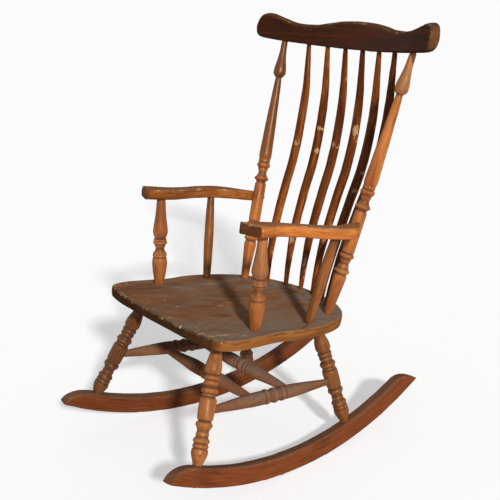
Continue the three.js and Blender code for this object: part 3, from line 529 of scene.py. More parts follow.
def skin(name, rings, facts, slot, node):
    """A closed piece from rings of points: quads join each ring to the next, a fan of triangles closes
    each end on its middle, and the whole is turned inside out where its signed volume is negative.
    facts holds the grain coordinates, and the wear, dust, grime with some painted shade, and tone with
    painted light and shade, of each point of the grid."""
    count, around = rings.shape[:2]
    points = with_ends(rings)
    step = np.arange(around)
    on = (step + 1) % around
    ring = np.arange(count - 1)[:, None] * around
    quads = stacked(ring + step, ring + on, ring + on + around, ring + step + around).reshape(-1, 4)
    last = (count - 1) * around
    fans = np.vstack([
        stacked(count * around, on, step), stacked(count * around + 1, last + step, last + on)])
    a, b, c = points[np.vstack([quads[:, :3], quads[:, [0, 2, 3]], fans])].transpose(1, 0, 2)
    if np.einsum("ij,ij->i", a, np.cross(b, c)).sum() < 0:
        quads, fans = quads[:, ::-1], fans[:, ::-1]

    mesh = bpy.data.meshes.new(name)
    mesh.vertices.add(len(points))
    mesh.vertices.foreach_set("co", points.astype(np.float32).ravel())
    loops = np.concatenate([quads.ravel(), fans.ravel()])
    starts = np.concatenate([np.arange(len(quads)) * 4, len(quads) * 4 + np.arange(len(fans)) * 3])
    mesh.loops.add(len(loops))
    mesh.loops.foreach_set("vertex_index", loops.astype(np.int32))
    mesh.polygons.add(len(starts))
    mesh.polygons.foreach_set("loop_start", starts.astype(np.int32))
    mesh.update(calc_edges=True)
    mesh.polygons.foreach_set("use_smooth", np.ones(len(starts), bool))
    if mesh.validate():
        raise RuntimeError(f"{name}: the surface has faults")

    # Each piece is cut from its own place in the wood
    offset = np.random.default_rng(len(name) * 31 + sum(name.encode())).uniform(-3, 3, 3)
    store(mesh, "grain", "FLOAT_VECTOR", "vector", with_ends(facts["grain"]) + offset)
    for key in ("wear", "dust", "grime", "tone"):
        values = np.broadcast_to(facts.get(key, 0.0), (count, around))
        store(mesh, key, "FLOAT", "value", with_ends(values[..., None]))

    mesh.materials.append(wood(slot))
    piece = bpy.data.objects.new(name, mesh)
    bpy.context.scene.collection.objects.link(piece)
    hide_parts(node)
    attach(piece, "root")


# A finish: sRGB codes of its dark and light figure, stained patches, dust, bare wood and grime, which also
# colours painted shade; how fully grime settles, roughness, gloss, dust on faces that look up, light
# patches, how fully worn places are bare, the noise above which scuffs show, stained patches, and the
# figure's waves per metre
Finish = namedtuple(
    "Finish", "dark light patch dust bare grime settled rough gloss dusty golden worn scuff patchy figure")
FINISHES = {
    "seat_wood": Finish(
        "#432817", "#a1622f", "#7e4720", "#8a7868", "#c2a074", "#2a1a10",
        0.8, 0.62, 0.06, 0.65, 0.4, 0.8, 0.68, 0.7, 60),
    "rocker_wood": Finish(
        "#4c2210", "#8e4c24", "#6b3415", "#705a48", "#b98d62", "#331e12",
        0.5, 0.52, 0.12, 0.8, 0.3, 0.3, 0.7, 0.5, 190),
    "turned_wood": Finish(
        "#5c280f", "#d07f3e", "#7e3a18", "#80664c", "#e0b986", "#4a3020",
        0.85, 0.33, 0.28, 0.4, 0.35, 0.35, 0.7, 0.75, 150),
    "pin_wood": Finish(
        "#3f2010", "#8a5430", "#5a2f17", "#8a7462", "#b08a66", "#3a2a20",
        0.3, 0.6, 0.1, 0.2, 0.1, 0.2, 0.7, 0.4, 200),
    "stretcher_wood": Finish(
        "#623418", "#b0703f", "#a05426", "#80695a", "#cda77e", "#54402f",
        0.85, 0.52, 0.12, 0.85, 0.3, 0.25, 0.7, 0.6, 150),
    "crest_wood": Finish(
        "#170a05", "#5a2b12", "#481808", "#7a5a38", "#b08c62", "#170d07",
        0.4, 0.42, 0.12, 0.3, 0.1, 0.5, 0.7, 0.7, 80),
    "spindle_wood": Finish(
        "#220d05", "#ae6026", "#4c200a", "#73542f", "#cda070", "#25160d",
        0.3, 0.38, 0.09, 0.25, 0.45, 0.8, 0.63, 0.7, 150),
    "arm_wood": Finish(
        "#6b3311", "#d58a44", "#843f14", "#6b5a4a", "#deb584", "#3c2a1b",
        0.5, 0.42, 0.18, 0.9, 0.4, 0.6, 0.7, 0.6, 130),
}
# Noises of all finishes: waves per metre, squeeze along the grain, detail, roughness and distortion. The
# figure's waves per metre come from the finish
FIGURE = (0.07, 6.0, 0.62, 0.5)
NOISES = {
    "fibres": (900, 0.03, 3.0, 0.6, 0.0),
    "stain": (9, 0.45, 4.0, 0.55, 0.6),
    "mottle": (130, 0.5, 5.0, 0.7, 0.0),
    "gold": (15, 0.3, 5.0, 0.6, 1.0),
    "drift": (11, 0.3, 4.0, 0.6, 0.8),
    "rubbing": (70, 0.4, 5.0, 0.7, 0.0),
    "scuffs": (38, 0.16, 4.0, 0.62, 0.3),
    "scratches": (240, 0.025, 2.0, 0.5, 0.0),
    "nicks": (260, 0.35, 2.0, 0.5, 0.0),
}
# Layers over the figure, from the lowest: the noise, where it starts to show and is at its full, its
# strength as a number or as the finish's own, and the finish's colour
LAYERS = (
    ("stain", 0.48, 0.66, "patchy", "patch"), ("gold", 0.5, 0.66, "golden", "light"),
    ("stain", 0.46, 0.3, 0.45, "dark"), ("fibres", 0.52, 0.72, 0.25, "dark"),
)
# Colour of nicks, tint of the shine, and places of the dark, body and light colour on the figure's ramp
NICK_COLOUR, SHINE_TINT, STOPS = "#1c0e07", "#ffe7cb", (0.22, 0.5, 0.78)
# Masks: the noise that each comes from, and where it starts to show and is at its full
MASKS = {
    "uneven": ("mottle", 0.25, 0.7), "drifts": ("drift", 0.36, 0.6), "scratched": ("scratches", 0.7, 0.76),
    "nicked": ("nicks", 0.73, 0.78),
}
# The same for how far a face looks up, for rubbed edges and for how far a face is turned from the eye, and
# the width of that step for scuffs
LOOKING_UP, RUBBED_OFF, TURNED_AWAY, SCUFF_STEP = (0.1, 0.95), (0.77, 0.86), (0.3, 0.8), 0.035
# Least share of dust between drifts and of grime and painted shade between their spots, and strengths of
# scratches and nicks
LEAST_DUST, LEAST_GRIME, SCRATCH, NICK = 0.4, 0.65, 0.4, 0.8
# How much a piece's own tone, with its painted light and shade, dust and wear count
TONE_AND_LIGHT_SHARE, DUST_SHARE, WEAR_SHARE = 0.5, 0.5, 0.3
# What each part adds to the roughness and to the height of the bump, whose strength and depth follow
ROUGHENS = {"dusted": 0.3, "bared": 0.2, "off_mean": 0.25}
RAISES = {"figure": 0.5, "fibres": 0.25, "mottle": 0.35, "nicked": -0.6, "bared": -0.3}
AWAY_ROUGHENS, BUMP_STRENGTH, BUMP_DEPTH = 0.5, 0.35, 0.0012


class Shading:
    """Adds nodes to an emptied tree. Each method but give and add returns the socket of its result."""

    def __init__(self, tree):
        self.tree = tree
        tree.nodes.clear()

    def give(self, socket, value):
        """Links a socket to another one, or sets it to a plain value."""
        if isinstance(value, bpy.types.NodeSocket):
            self.tree.links.new(value, socket)
        else:
            socket.default_value = value

    def add(self, kind, inputs=None, **settings):
        """A node with its settings made and its inputs given."""
        node = self.tree.nodes.new("ShaderNode" + kind)
        for key, value in settings.items():
            setattr(node, key, value)
        for key, value in (inputs or {}).items():
            self.give(node.inputs[key], value)
        return node

    def sums(self, operation, first, second, clamp):
        """A sum, held between 0 and 1 where clamp is true."""
        return self.add("Math", {0: first, 1: second}, operation=operation, use_clamp=clamp).outputs[0]

    def times(self, first, second, clamp=False):
        """The first number times the second."""
        return self.sums("MULTIPLY", first, second, clamp)

    def plus(self, first, second, weight=1.0, clamp=False):
        """The first number plus the second times a weight."""
        part = second if weight == 1 else self.times(second, weight)
        return self.sums("ADD", first, part, clamp)

    def total(self, start, parts, weights):
        """The start plus each weighed part times its weight."""
        for key, weight in weights.items():
            start = self.plus(start, parts[key], weight)
        return start

    def at_least(self, value, least):
        """A share drawn up, so that it runs from a least share to 1."""
        return self.plus(self.times(value, 1 - least), least)

    def larger(self, first, second):
        """The larger of two numbers."""
        return self.sums("MAXIMUM", first, second, False)

    def between(self, value, low, high):
        """How far a value has come from low to high, as a share from 0 to 1 that starts and ends gently."""
        return self.add(
            "MapRange", {"Value": value, "From Min": low, "From Max": high},
            interpolation_type="SMOOTHSTEP").outputs[0]

    def cover(self, surface, amount, code):
        """A surface colour with a share of another colour laid over it."""
        return self.add("Mix", {0: amount, 6: surface, 7: (*linear(code), 1)}, data_type="RGBA").outputs[2]

    def fact(self, key, output="Fac"):
        """What the piece's mesh says of each place."""
        return self.add("Attribute", attribute_name=key).outputs[output]

    def noise(self, grain, scale, squeeze, detail, rough, twist):
        """Noise drawn out along the grain by squeezing its coordinates there."""
        drawn = self.add("Mapping", {"Vector": grain, "Scale": (1, 1, squeeze)}).outputs[0]
        return self.add("TexNoise", {
            "Vector": drawn, "Scale": scale, "Detail": detail, "Roughness": rough, "Distortion": twist,
        }).outputs[0]


def wood(slot):
    """The aged wood of one finish. Its colour is a figure of noise drawn out along the grain, run through a
    ramp from dark to light; patches of stain, dust on faces that look up, grime in grooves and painted shade
    under the seat's upper edge, bare wood on rubbed edges and in scuffs, and small dark nicks are laid over
    it. The same masks set its roughness and its bump."""
    for material in bpy.data.materials:
        if material.get("finish") == slot:
            return material
    look = FINISHES[slot]
    colours = bpy.context.scene.rocking_chair.finish
    material = bpy.data.materials.new(slot)
    material["finish"] = slot
    material.use_nodes = True
    shading = Shading(material.node_tree)
    times, plus, between, cover = shading.times, shading.plus, shading.between, shading.cover

    grain = shading.fact("grain", "Vector")
    figure = shading.noise(grain, look.figure, *FIGURE)
    noises = {name: shading.noise(grain, *row) for name, row in NOISES.items()}
    masks = {name: between(noises[source], low, high) for name, (source, low, high) in MASKS.items()}

    ramp = shading.add("ValToRGB", {"Fac": figure})
    stops = ramp.color_ramp.elements
    stops.new(STOPS[1])
    tints = (linear(look.dark), getattr(colours, slot), linear(look.light))
    for stop, position, tint in zip(stops, STOPS, tints):
        stop.position, stop.color = position, (*tint, 1)
    surface = ramp.outputs[0]
    for name, low, high, strength, colour_key in LAYERS:
        if isinstance(strength, str):
            strength = getattr(look, strength)
        shown = times(between(noises[name], low, high), strength)
        surface = cover(surface, shown, getattr(look, colour_key))
    # Each place's tone, painted light and shade among it, makes the colour lighter or darker
    lightness = plus(1.0, shading.fact("tone"), TONE_AND_LIGHT_SHARE)
    surface = shading.add("HueSaturation", {"Value": lightness, "Color": surface}).outputs[0]

    # Dust lies on faces that look up, in drifts; grime settles in the grooves, and painted shade lies under
    # the seat's upper edge
    normal = shading.add("NewGeometry").outputs["Normal"]
    upward = between(shading.add("SeparateXYZ", {0: normal}).outputs[2], *LOOKING_UP)
    lying = times(times(upward, look.dusty), shading.at_least(masks["drifts"], LEAST_DUST))
    lying = times(
        plus(lying, shading.fact("dust"), DUST_SHARE), shading.at_least(masks["uneven"], LEAST_DUST), True)
    dusted = times(lying, colours.dustiness, True)
    surface = cover(surface, dusted, look.dust)
    grimed_and_shaded = times(shading.fact("grime"), shading.at_least(masks["uneven"], LEAST_GRIME))
    surface = cover(surface, times(grimed_and_shaded, look.settled * colours.dustiness, True), look.grime)

    # Bare wood shows where edges are rubbed, in long scuffs and in fine scratches
    edge = between(plus(noises["rubbing"], shading.fact("wear"), WEAR_SHARE), *RUBBED_OFF)
    scuff = between(noises["scuffs"], look.scuff, look.scuff + SCUFF_STEP)
    marks = shading.larger(shading.larger(edge, scuff), times(masks["scratched"], SCRATCH))
    bared = times(marks, look.worn * colours.wear, True)
    surface = cover(surface, bared, look.bare)
    surface = cover(surface, times(masks["nicked"], NICK), NICK_COLOUR)

    # The old varnish has no shine where it is seen at a low angle
    slant = between(shading.add("LayerWeight", {"Blend": 0.5}).outputs["Facing"], *TURNED_AWAY)
    # A noise swings about a half
    parts = {
        **noises, **masks, "figure": figure, "dusted": dusted, "bared": bared,
        "off_mean": plus(noises["mottle"], -0.5)}
    rough = plus(shading.total(look.rough, parts, ROUGHENS), slant, AWAY_ROUGHENS, True)
    relief = shading.total(0.0, parts, RAISES)
    bump = shading.add("Bump", {"Strength": BUMP_STRENGTH, "Distance": BUMP_DEPTH, "Height": relief})
    shader = shading.add("BsdfPrincipled", {
        "Base Color": surface, "Roughness": rough, "Specular IOR Level": look.gloss,
        "Specular Tint": (*linear(SHINE_TINT), 1), "Normal": bump.outputs[0]})
    shading.add("OutputMaterial", {"Surface": shader.outputs[0]})
    return material


def node_points(node):
    """Corners of a CAD node's mesh, each once, to a hundredth of a millimetre."""
    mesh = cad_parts[node].data
    points = np.empty(len(mesh.vertices) * 3, np.float32)
    mesh.vertices.foreach_get("co", points)
    return np.unique(np.round(points.reshape(-1, 3).astype(float), 5), axis=0)


def end_middles(node, axis):
    """Middles of the two end faces of a turned CAD node: its farthest points along its own length, first
    along the main direction of its points and then along the line between the middles found. The end
    that lies lower on the given axis comes first."""
    points = node_points(node)
    way = np.linalg.svd(points - points.mean(0), full_matrices=False)[2][0]
    for _ in range(3):
        place = points @ way
        low = points[place < place.min() + END_FACE].mean(0)
        high = points[place > place.max() - END_FACE].mean(0)
        way = unit(high - low)
    return (low, high) if low[axis] < high[axis] else (high, low)


def turned_radius(rows, t, whole, bead_run):
    """Radius at t along a turned piece: the mean of a quarter of an ellipse and a quarter of a sine wave,
    steep in the groove and level on the bead, where a valley and a peak are close together, and a smooth
    curve elsewhere."""
    place, radius = np.asarray(rows, float).T
    i = np.clip(np.searchsorted(place, t, side="right") - 1, 0, len(place) - 2)
    s = np.clip((t - place[i]) / (place[i + 1] - place[i]), 0, 1)
    low, high = radius[i], radius[i + 1]
    climbing = low + (high - low) * (np.sqrt(1 - (1 - s) ** 2) + np.sin(s * math.pi / 2)) / 2
    falling = high + (low - high) * (np.sqrt(1 - s**2) + np.cos(s * math.pi / 2)) / 2
    rise = np.diff(radius)
    extreme = np.concatenate([[True], rise[:-1] * rise[1:] <= 0, [True]])
    sharp = (np.diff(place) * whole < bead_run) & extreme[:-1] & extreme[1:]
    quarter = np.where(high > low, climbing, falling)
    return np.where(sharp[i], quarter, follow(rows, t)[:, 0])


def along(value, t):
    """A column over t of a share that is the same all along a piece, or that follows rows of place and
    share."""
    return np.full((len(t), 1), value) if np.isscalar(value) else follow(value, t)


def turn_piece(name, node, kind, tone, dust):
    """A turned piece: its radius, worked out at each step along the line between the middles of the
    CAD node's ends, is carried round that line."""
    turning = bpy.context.scene.rocking_chair.turning
    rows, size, tenons, slot, axis, _ = kind
    radius = getattr(turning, size)
    low, high = end_middles(node, axis)
    way = unit(high - low)
    (foot_radius, foot_depth), (top_radius, top_depth) = tenons
    whole = np.linalg.norm(high - low) - foot_depth - top_depth
    shoulder = turning.step / whole
    table = [
        (-foot_depth / whole, foot_radius), (-shoulder, foot_radius), *((t, r * radius) for t, r in rows),
        (1 + shoulder, top_radius), (1 + top_depth / whole, top_radius)]
    steps = int((whole + foot_depth + top_depth) / turning.step)
    t = np.linspace(table[0][0], table[-1][0], steps)
    r = turned_radius(table, t, whole, turning.bead_run)
    window = max(3, int(LEVELLED / turning.step))
    padded = np.pad(r, window, mode="edge")
    level = np.convolve(padded, np.ones(window) / window, mode="same")[window:-window]
    proud = ((r - level) / FULL_BEAD)[:, None]

    angle = np.linspace(0, 2 * math.pi, turning.around, endpoint=False)
    side = unit(np.cross(way, ASKEW[int(abs(way[2]) >= STANDING)]))
    round_about = np.cos(angle)[:, None] * side + np.sin(angle)[:, None] * np.cross(way, side)
    centre = low + foot_depth * way + t[:, None] * whole * way
    rings = centre[:, None] + r[:, None, None] * round_about
    rings = rings + waves("turned dents", rings)[..., None] * round_about
    facts = {
        "grain": stacked(r[:, None] * np.cos(angle), r[:, None] * np.sin(angle), (t * whole)[:, None]),
        "wear": np.clip(proud, 0, 1) * BEAD_WEAR,
        "grime": np.clip(-proud * GROOVE_GRIME, 0, 1),
        "dust": along(dust, t),
        "tone": along(tone, t),
    }
    skin(name, rings, facts, slot, node)


def turn_pieces(*kinds):
    """Turns all the pieces of some kinds, each from its own row of the table."""
    for kind in kinds:
        for place, (tone, dust) in TURNINGS[kind][-1].items():
            node = f"{kind}_{place}"
            turn_piece(node.capitalize(), node, TURNINGS[kind], tone, dust)


def outward_normals(rings):
    """Unit normals of a grid of rings: the cross product of the steps along and round it, turned away from
    the middle of each ring."""
    about = np.roll(rings, -1, axis=1) - np.roll(rings, 1, axis=1)
    normals = unit(np.cross(np.gradient(rings, axis=0), about) + 1e-12)
    if (normals * (rings - rings.mean(axis=1, keepdims=True))).sum() < 0:
        normals = -normals
    return normals


def sloping(angle):
    """Unit vectors of a plane that falls towards the chair's back: to its back, and square up from it."""
    return np.array([0, math.cos(angle), -math.sin(angle)]), np.array([0, math.sin(angle), math.cos(angle)])


def seat_place(x, y, drop):
    """Points given across the seat, back from its front edge and down from its top face."""
    chair = bpy.context.scene.rocking_chair
    backwards, upwards = sloping(chair.seat.slope)
    origin = np.array(chair.stage.datum) + (0, 0, chair.seat.height)
    x, y, drop = np.broadcast_arrays(x, y, drop)
    back = (y - chair.seat.front_reach)[..., None] * backwards
    return origin + x[..., None] * ACROSS + back - drop[..., None] * upwards


def on_seat(half_share, depth_share):
    """A point of the seat's top face, given as shares of its half width and of its depth."""
    seat = bpy.context.scene.rocking_chair.seat
    return seat_place(half_share * seat.width / 2, depth_share * seat.depth, 0.0)


def rounded_loop(points, count):
    """A closed loop through the points: each run is the cubic whose slope at a point is half the way
    between its two neighbours. The loop is then walked in even steps."""
    p0, p1, p2, p3 = (np.roll(points, shift, axis=0)[:, None] for shift in (1, 0, -1, -2))
    s = np.linspace(0, 1, RUN_POINTS, endpoint=False)[None, :, None]
    curve = p1 + 0.5 * s * (p2 - p0) + s**2 * (p0 - 2.5 * p1 + 2 * p2 - 0.5 * p3) \
        + s**3 * (1.5 * (p1 - p2) + 0.5 * (p3 - p0))
    curve = curve.reshape(-1, 2)
    curve = np.vstack([curve, curve[:1]])
    walked = np.concatenate([[0], np.cumsum(np.linalg.norm(np.diff(curve, axis=0), axis=1))])
    steps = np.linspace(0, walked[-1], count, endpoint=False)
    return np.stack([np.interp(steps, walked, curve[:, 0]), np.interp(steps, walked, curve[:, 1])], axis=1)


def seat_rings(seat):
    """Rings of the plank, from the middle of its top out and round under to the middle of its underside:
    each ring's share of the outline, inset and drop. Also marks the rings of the top and of its rounding."""
    runs = ((INNERMOST, 1), (0, math.pi / 2), (0, 1), (0, 1), (1, INNERMOST))
    out, turned, fall, under, in_again = (
        np.linspace(*run, steps) for run, steps in zip(runs, SEAT_RINGS))
    rounded, band, lowest = seat.edge_round, seat.edge_band, seat.thickness
    parts = (
        stacked(out, rounded * out, 0.0),
        stacked(1.0, rounded * (1 - np.sin(turned)), rounded * (1 - np.cos(turned)))[1:],
        stacked(1.0, seat.edge_draft * fall**2, rounded + (band - rounded) * fall)[1:],
        stacked(1 + (seat.flat_share - 1) * under, seat.edge_draft * (1 - under),
                band + (lowest - band) * under)[1:],
        stacked(seat.flat_share * in_again, 0.0, lowest)[1:])
    rings = np.vstack(parts)
    number = np.arange(len(rings))[:, None]
    top_end, edge_end = len(parts[0]), len(parts[0]) + len(parts[1])
    return rings, number < top_end, (number >= top_end - 2) & (number < edge_end)


class ROCKINGCHAIR_OT_seat(bpy.types.Operator):
    """Builds the seat plank with its saddled top, worn front edge and bevelled underside"""
    bl_idname = "rocking_chair.seat"
    bl_label = "Seat"

    def execute(self, context):
        """The outline is drawn in towards the middle for the top, rounded over at the edge, carried down
        as a band and drawn in again underneath."""
        seat = context.scene.rocking_chair.seat
        half = np.array(SEAT_OUTLINE) * (seat.width / 2, seat.depth)
        outline = rounded_loop(np.vstack([half, half[-2:0:-1] * (-1, 1)]), OUTLINE_POINTS)
        run = unit(np.roll(outline, -1, axis=0) - np.roll(outline, 1, axis=0))
        outward = np.stack([run[:, 1], -run[:, 0]], axis=1)
        if (outward * (outline - outline.mean(0))).sum() < 0:
            outward = -outward
        rings, is_top, rounding = seat_rings(seat)
        size, inset, level = (
            np.broadcast_to(column[:, None], (len(rings), len(outline))) for column in rings.T)
        on_top = is_top & np.ones_like(size, bool)

        middle = np.array([0, seat.depth / 2])
        plan = middle + (outline - middle) * size[..., None] - outward * inset[..., None]
        x, y = plan[..., 0], plan[..., 1]
        ahead = np.clip(1 - 4 * y / seat.depth, 0, 1)
        lower = np.clip((level - seat.edge_round) / (seat.edge_band - seat.edge_round), 0, 1)
        lift = seat.front_hollow * ahead * np.cos(x / seat.width * math.pi) ** 2
        rim = seat.depth * (SADDLE_RIM - RIM_FORWARD * (2 * x / seat.width) ** 2)
        stepped = ease(SADDLE_STEP, -SADDLE_STEP, y - rim) * on_top * ease(*SADDLE_FADE, size)
        drop = level - lift * lower * (size > HOLLOWED) + seat.saddle_drop * stepped

        # Splinters lost along the front edge, and the waviness of a hand-worked plank
        flat_place = stacked(x, y, 0.0)
        at_front = ease(*SPLINTERED, y) * ease(*OUTERMOST, size)
        chip = ease(*LEVELS["splinters"], waves("seat splinters", flat_place)) * at_front
        chip = chip * ease(seat.edge_band * SPLINTER_REACH, 0, level)
        drop = drop + chip * seat.chip_depth + waves("seat planing", flat_place)
        plan = plan - outward * (chip * seat.chip_depth * SPLINTER_IN)[..., None]
        points = seat_place(plan[..., 0], plan[..., 1], drop)

        # Bare wood on the rounding, in the splinters, in flakes and at the near front corner
        near_front = ease(*NEAR_FRONT, y) * on_top
        flakes = waves("seat flakes", flat_place)
        flaked = ease(*LEVELS["flakes"], flakes) * near_front * ease(*FLAKED_RIM, size)
        flecked = ease(*LEVELS["front flecks"], flakes) * near_front
        flecked = flecked + ease(*LEVELS["flecks"], flakes) * on_top
        off_corner = sum(
            ((at - mid) / reach) ** 2 for at, mid, reach in zip((x, y), BARE_CORNER, CORNER_REACH))
        bared = ease(*LEVELS["bare corner"], flakes) * np.exp(-off_corner) * on_top
        wear = rounding * (ROUNDING_WEAR + FRONT_WEAR * at_front) + chip * SPLINTER_WEAR
        wear = np.clip(wear + flaked + FLECK_WEAR * flecked + CORNER_WEAR * bared, 0, 1)
        # Dust behind the saddle and on the right, and in drifts
        dust = BACK_DUST * ease(-DUST_START, DUST_START, y - rim) + SIDE_DUST * ease(*DUSTY_SIDE, x)
        drifts = waves("seat dust", flat_place) * (1 - SETTLED * ease(*SETTLED_SIDE, x))
        dust = np.clip(dust + DRIFT_DUST * drifts, 0, 2) * on_top
        # Dirt in the line of the saddle, and painted shade in a broken line that runs under the upper edge
        in_line = bell(y, rim, DIRT_WIDTH) * on_top * (LINE_DIRT + waves("saddle dirt", flat_place))
        edge_shade_line = EDGE_SHADE_DROP + waves("crack depth", flat_place)
        edge_shaded = bell(drop, edge_shade_line, EDGE_SHADE_WIDTH) * ease(*LEVELS["edge_shade_line"], waves("crack ends", flat_place))
        # The band has painted shade in front and painted light on its right side, and the top is smudged
        to_side, to_front = np.clip(outward[:, 0], 0, 1), np.clip(-outward[:, 1], 0, 1)
        tone = np.where(
            on_top, TOP_TONE + waves("seat smudges", flat_place) - FRONT_DARKER * near_front,
            SIDE_PAINTED_LIGHT * to_side**2 - FRONT_PAINTED_SHADE * to_front**5)
        facts = {
            "grain": stacked(x, drop, y), "wear": wear, "dust": dust,
            "grime": np.clip(in_line + edge_shaded * ~on_top, 0, 1), "tone": tone}
        skin("Seat_plank", points, facts, "seat_wood", "seat")
        return {"FINISHED"}


class ROCKINGCHAIR_OT_rockers(bpy.types.Operator):
    """Builds the two curved, leaning rockers"""
    bl_idname = "rocking_chair.rockers"
    bl_label = "Rockers"

    def execute(self, context):
        """A section of seven corners, softened, is carried along the arc of the sole; its height follows
        the tables of the nose and the tail."""
        chair = context.scene.rocking_chair
        rocker = chair.rocker
        from_tip, plain, to_tip = (np.linspace(0, 1, steps) for steps in ROCKER_RINGS)
        nose_end, tail_start = rocker.nose_length - rocker.front_reach, rocker.rear_reach - rocker.tail_length
        arc = np.concatenate([
            -rocker.front_reach + rocker.nose_length * from_tip**CLOSER_AT_NOSE,
            nose_end + (tail_start - nose_end) * plain[1:],
            rocker.rear_reach - rocker.tail_length * (1 - to_tip[1:]) ** CLOSER_AT_TAIL,
        ])
        nose = follow(ROCKER_NOSE, (arc + rocker.front_reach) / rocker.nose_length)[:, 0]
        tail = follow(ROCKER_TAIL, (rocker.rear_reach - arc) / rocker.tail_length)[:, 0]
        high = rocker.height * np.minimum(nose, tail)
        half = np.full_like(high, rocker.thickness / 2)
        rounding = np.minimum(ROCKER_CORNER, high / 3)
        tread = np.minimum(rocker.tread, 2 * high)
        zero = np.zeros_like(high)
        corners = corner_rows(
            (-half, tread * math.tan(rocker.lean)), (tread - half, zero), (half, zero),
            (half, high - rounding), (half - rounding, high), (rounding - half, high),
            (-half, high - rounding))
        section, bent = soften(corners, rocker.edge_round, *ROCKER_STEPS)
        across, up = section[..., 0], section[..., 1]
        place = stacked(across, up, arc[:, None])
        across = across + waves("rocker sides", place)
        chipped = ease(*LEVELS["rocker chips"], waves("rocker chips", place)) * bent
        up = up + waves("rocker top", place) - CHIP_DEPTH * chipped
        # The section leans in, and what would lie below the floor is worn off
        lean_in, upright = math.sin(rocker.lean), math.cos(rocker.lean)
        x = across * upright - up * lean_in
        height = (across + rocker.thickness / 2 - rocker.tread) * lean_in + up * upright
        height = np.maximum(height, 0)
        angle = arc[:, None] / rocker.radius
        reach = rocker.radius - height
        for word, side in SIDES:
            facts = {"grain": place, "wear": bent * ROCKER_WEAR, "tone": ROCKER_TONES[word]}
            local = stacked(x * side, reach * np.sin(angle), rocker.radius - reach * np.cos(angle))
            turned = np.array(Matrix.Rotation(rocker.toe * side, 3, "Z"))
            start = np.array(chair.stage.datum) + (rocker.half_spacing * side, -rocker.bearing, 0)
            skin(f"Rocker_{word}", local @ turned.T + start, facts, "rocker_wood", f"rocker_{word}")
        return {"FINISHED"}


class ROCKINGCHAIR_OT_legs(bpy.types.Operator):
    """Turns the four legs"""
    bl_idname = "rocking_chair.legs"
    bl_label = "Legs"

    def execute(self, context):
        """Each leg is its profile of radii, carried round the line between its ends."""
        turn_pieces("leg")
        return {"FINISHED"}


class ROCKINGCHAIR_OT_stretchers(bpy.types.Operator):
    """Turns the two side stretchers and the two cross stretchers"""
    bl_idname = "rocking_chair.stretchers"
    bl_label = "Stretchers"

    def execute(self, context):
        """Each stretcher is its profile of radii, carried round the line between its ends."""
        turn_pieces("side_stretcher", "cross_stretcher")
        return {"FINISHED"}


def crest_edges(x):
    """Lower and upper edge of the crest rail at places across it, above its underside's middle."""
    crest = bpy.context.scene.rocking_chair.crest
    return follow(CREST_OUTLINE, np.abs(np.atleast_1d(x)) / crest.half_length) * crest.height


def crest_place(x, height, through):
    """Points of the crest rail: across it, up it and through its thickness. The rail leans back and is
    bent to an arc in plan."""
    chair = bpy.context.scene.rocking_chair
    crest = chair.crest
    x, height, through = np.broadcast_arrays(x, height, through)
    bow = crest.bow_radius - np.sqrt(crest.bow_radius**2 - x**2)
    out = np.arcsin(x / crest.bow_radius)
    back = crest.setback - bow + height * math.tan(crest.lean) + through * np.cos(out)
    return stacked(x + through * np.sin(out), back, crest.underside + height) + np.array(chair.stage.datum)


def crest_under(x):
    """The middle of the crest rail's underside at a place across it."""
    return crest_place(x, crest_edges(x)[0, 0], 0.0)


class ROCKINGCHAIR_OT_crest_rail(bpy.types.Operator):
    """Builds the bowed crest rail with its raised ears"""
    bl_idname = "rocking_chair.crest_rail"
    bl_label = "Crest rail"

    def execute(self, context):
        """A softened rectangle, as high as the outline at each place across, is carried along the bow."""
        crest = context.scene.rocking_chair.crest
        step = np.linspace(-1, 1, CREST_RINGS)
        x = np.sign(step) * (1 - (1 - np.abs(step)) ** CLOSER_AT_ENDS) * crest.half_length
        low, high = crest_edges(x).T
        half = np.full_like(low, crest.thickness / 2)
        tight = np.minimum(crest.edge_round * CREST_SOFTNESS, (high - low) / 3)[:, None, None]
        section, bent = soften(box_corners(low, high, -half, half), tight, *CREST_STEPS)
        height, through = section[..., 0], section[..., 1]
        place = stacked(through, height, x[:, None])
        height = height + waves("crest edges", place) + waves("crest corners", place) * bent
        points = crest_place(x[:, None], height, through + waves("crest faces", place))
        upper = height > (0.5 * (low + high))[:, None]
        upper_wear = UPPER_WEAR + RIGHT_WEAR * ease(*RIGHT_PART, x)[:, None]
        wear = bent * np.where(upper, upper_wear, LOWER_WEAR)
        # The rail is darkest at its left end; the sawn face of its right end has lost its finish and is
        # painted with light
        bared = ease(crest.half_length - BARE_END, crest.half_length, x)[:, None]
        tone = BARE_END_LIGHT * bared - LEFT_DARKER * ease(*LEFT_PART, x)[:, None]
        facts = {"grain": place, "wear": wear, "dust": BARE_DUST * bared, "tone": tone}
        skin("Crest_rail", points, facts, "crest_wood", "crest_rail")
        return {"FINISHED"}


class ROCKINGCHAIR_OT_back_posts(bpy.types.Operator):
    """Turns the two back posts"""
    bl_idname = "rocking_chair.back_posts"
    bl_label = "Back posts"

    def execute(self, context):
        """Each post is its profile of radii, carried round the line between its ends."""
        turn_pieces("back_post")
        return {"FINISHED"}


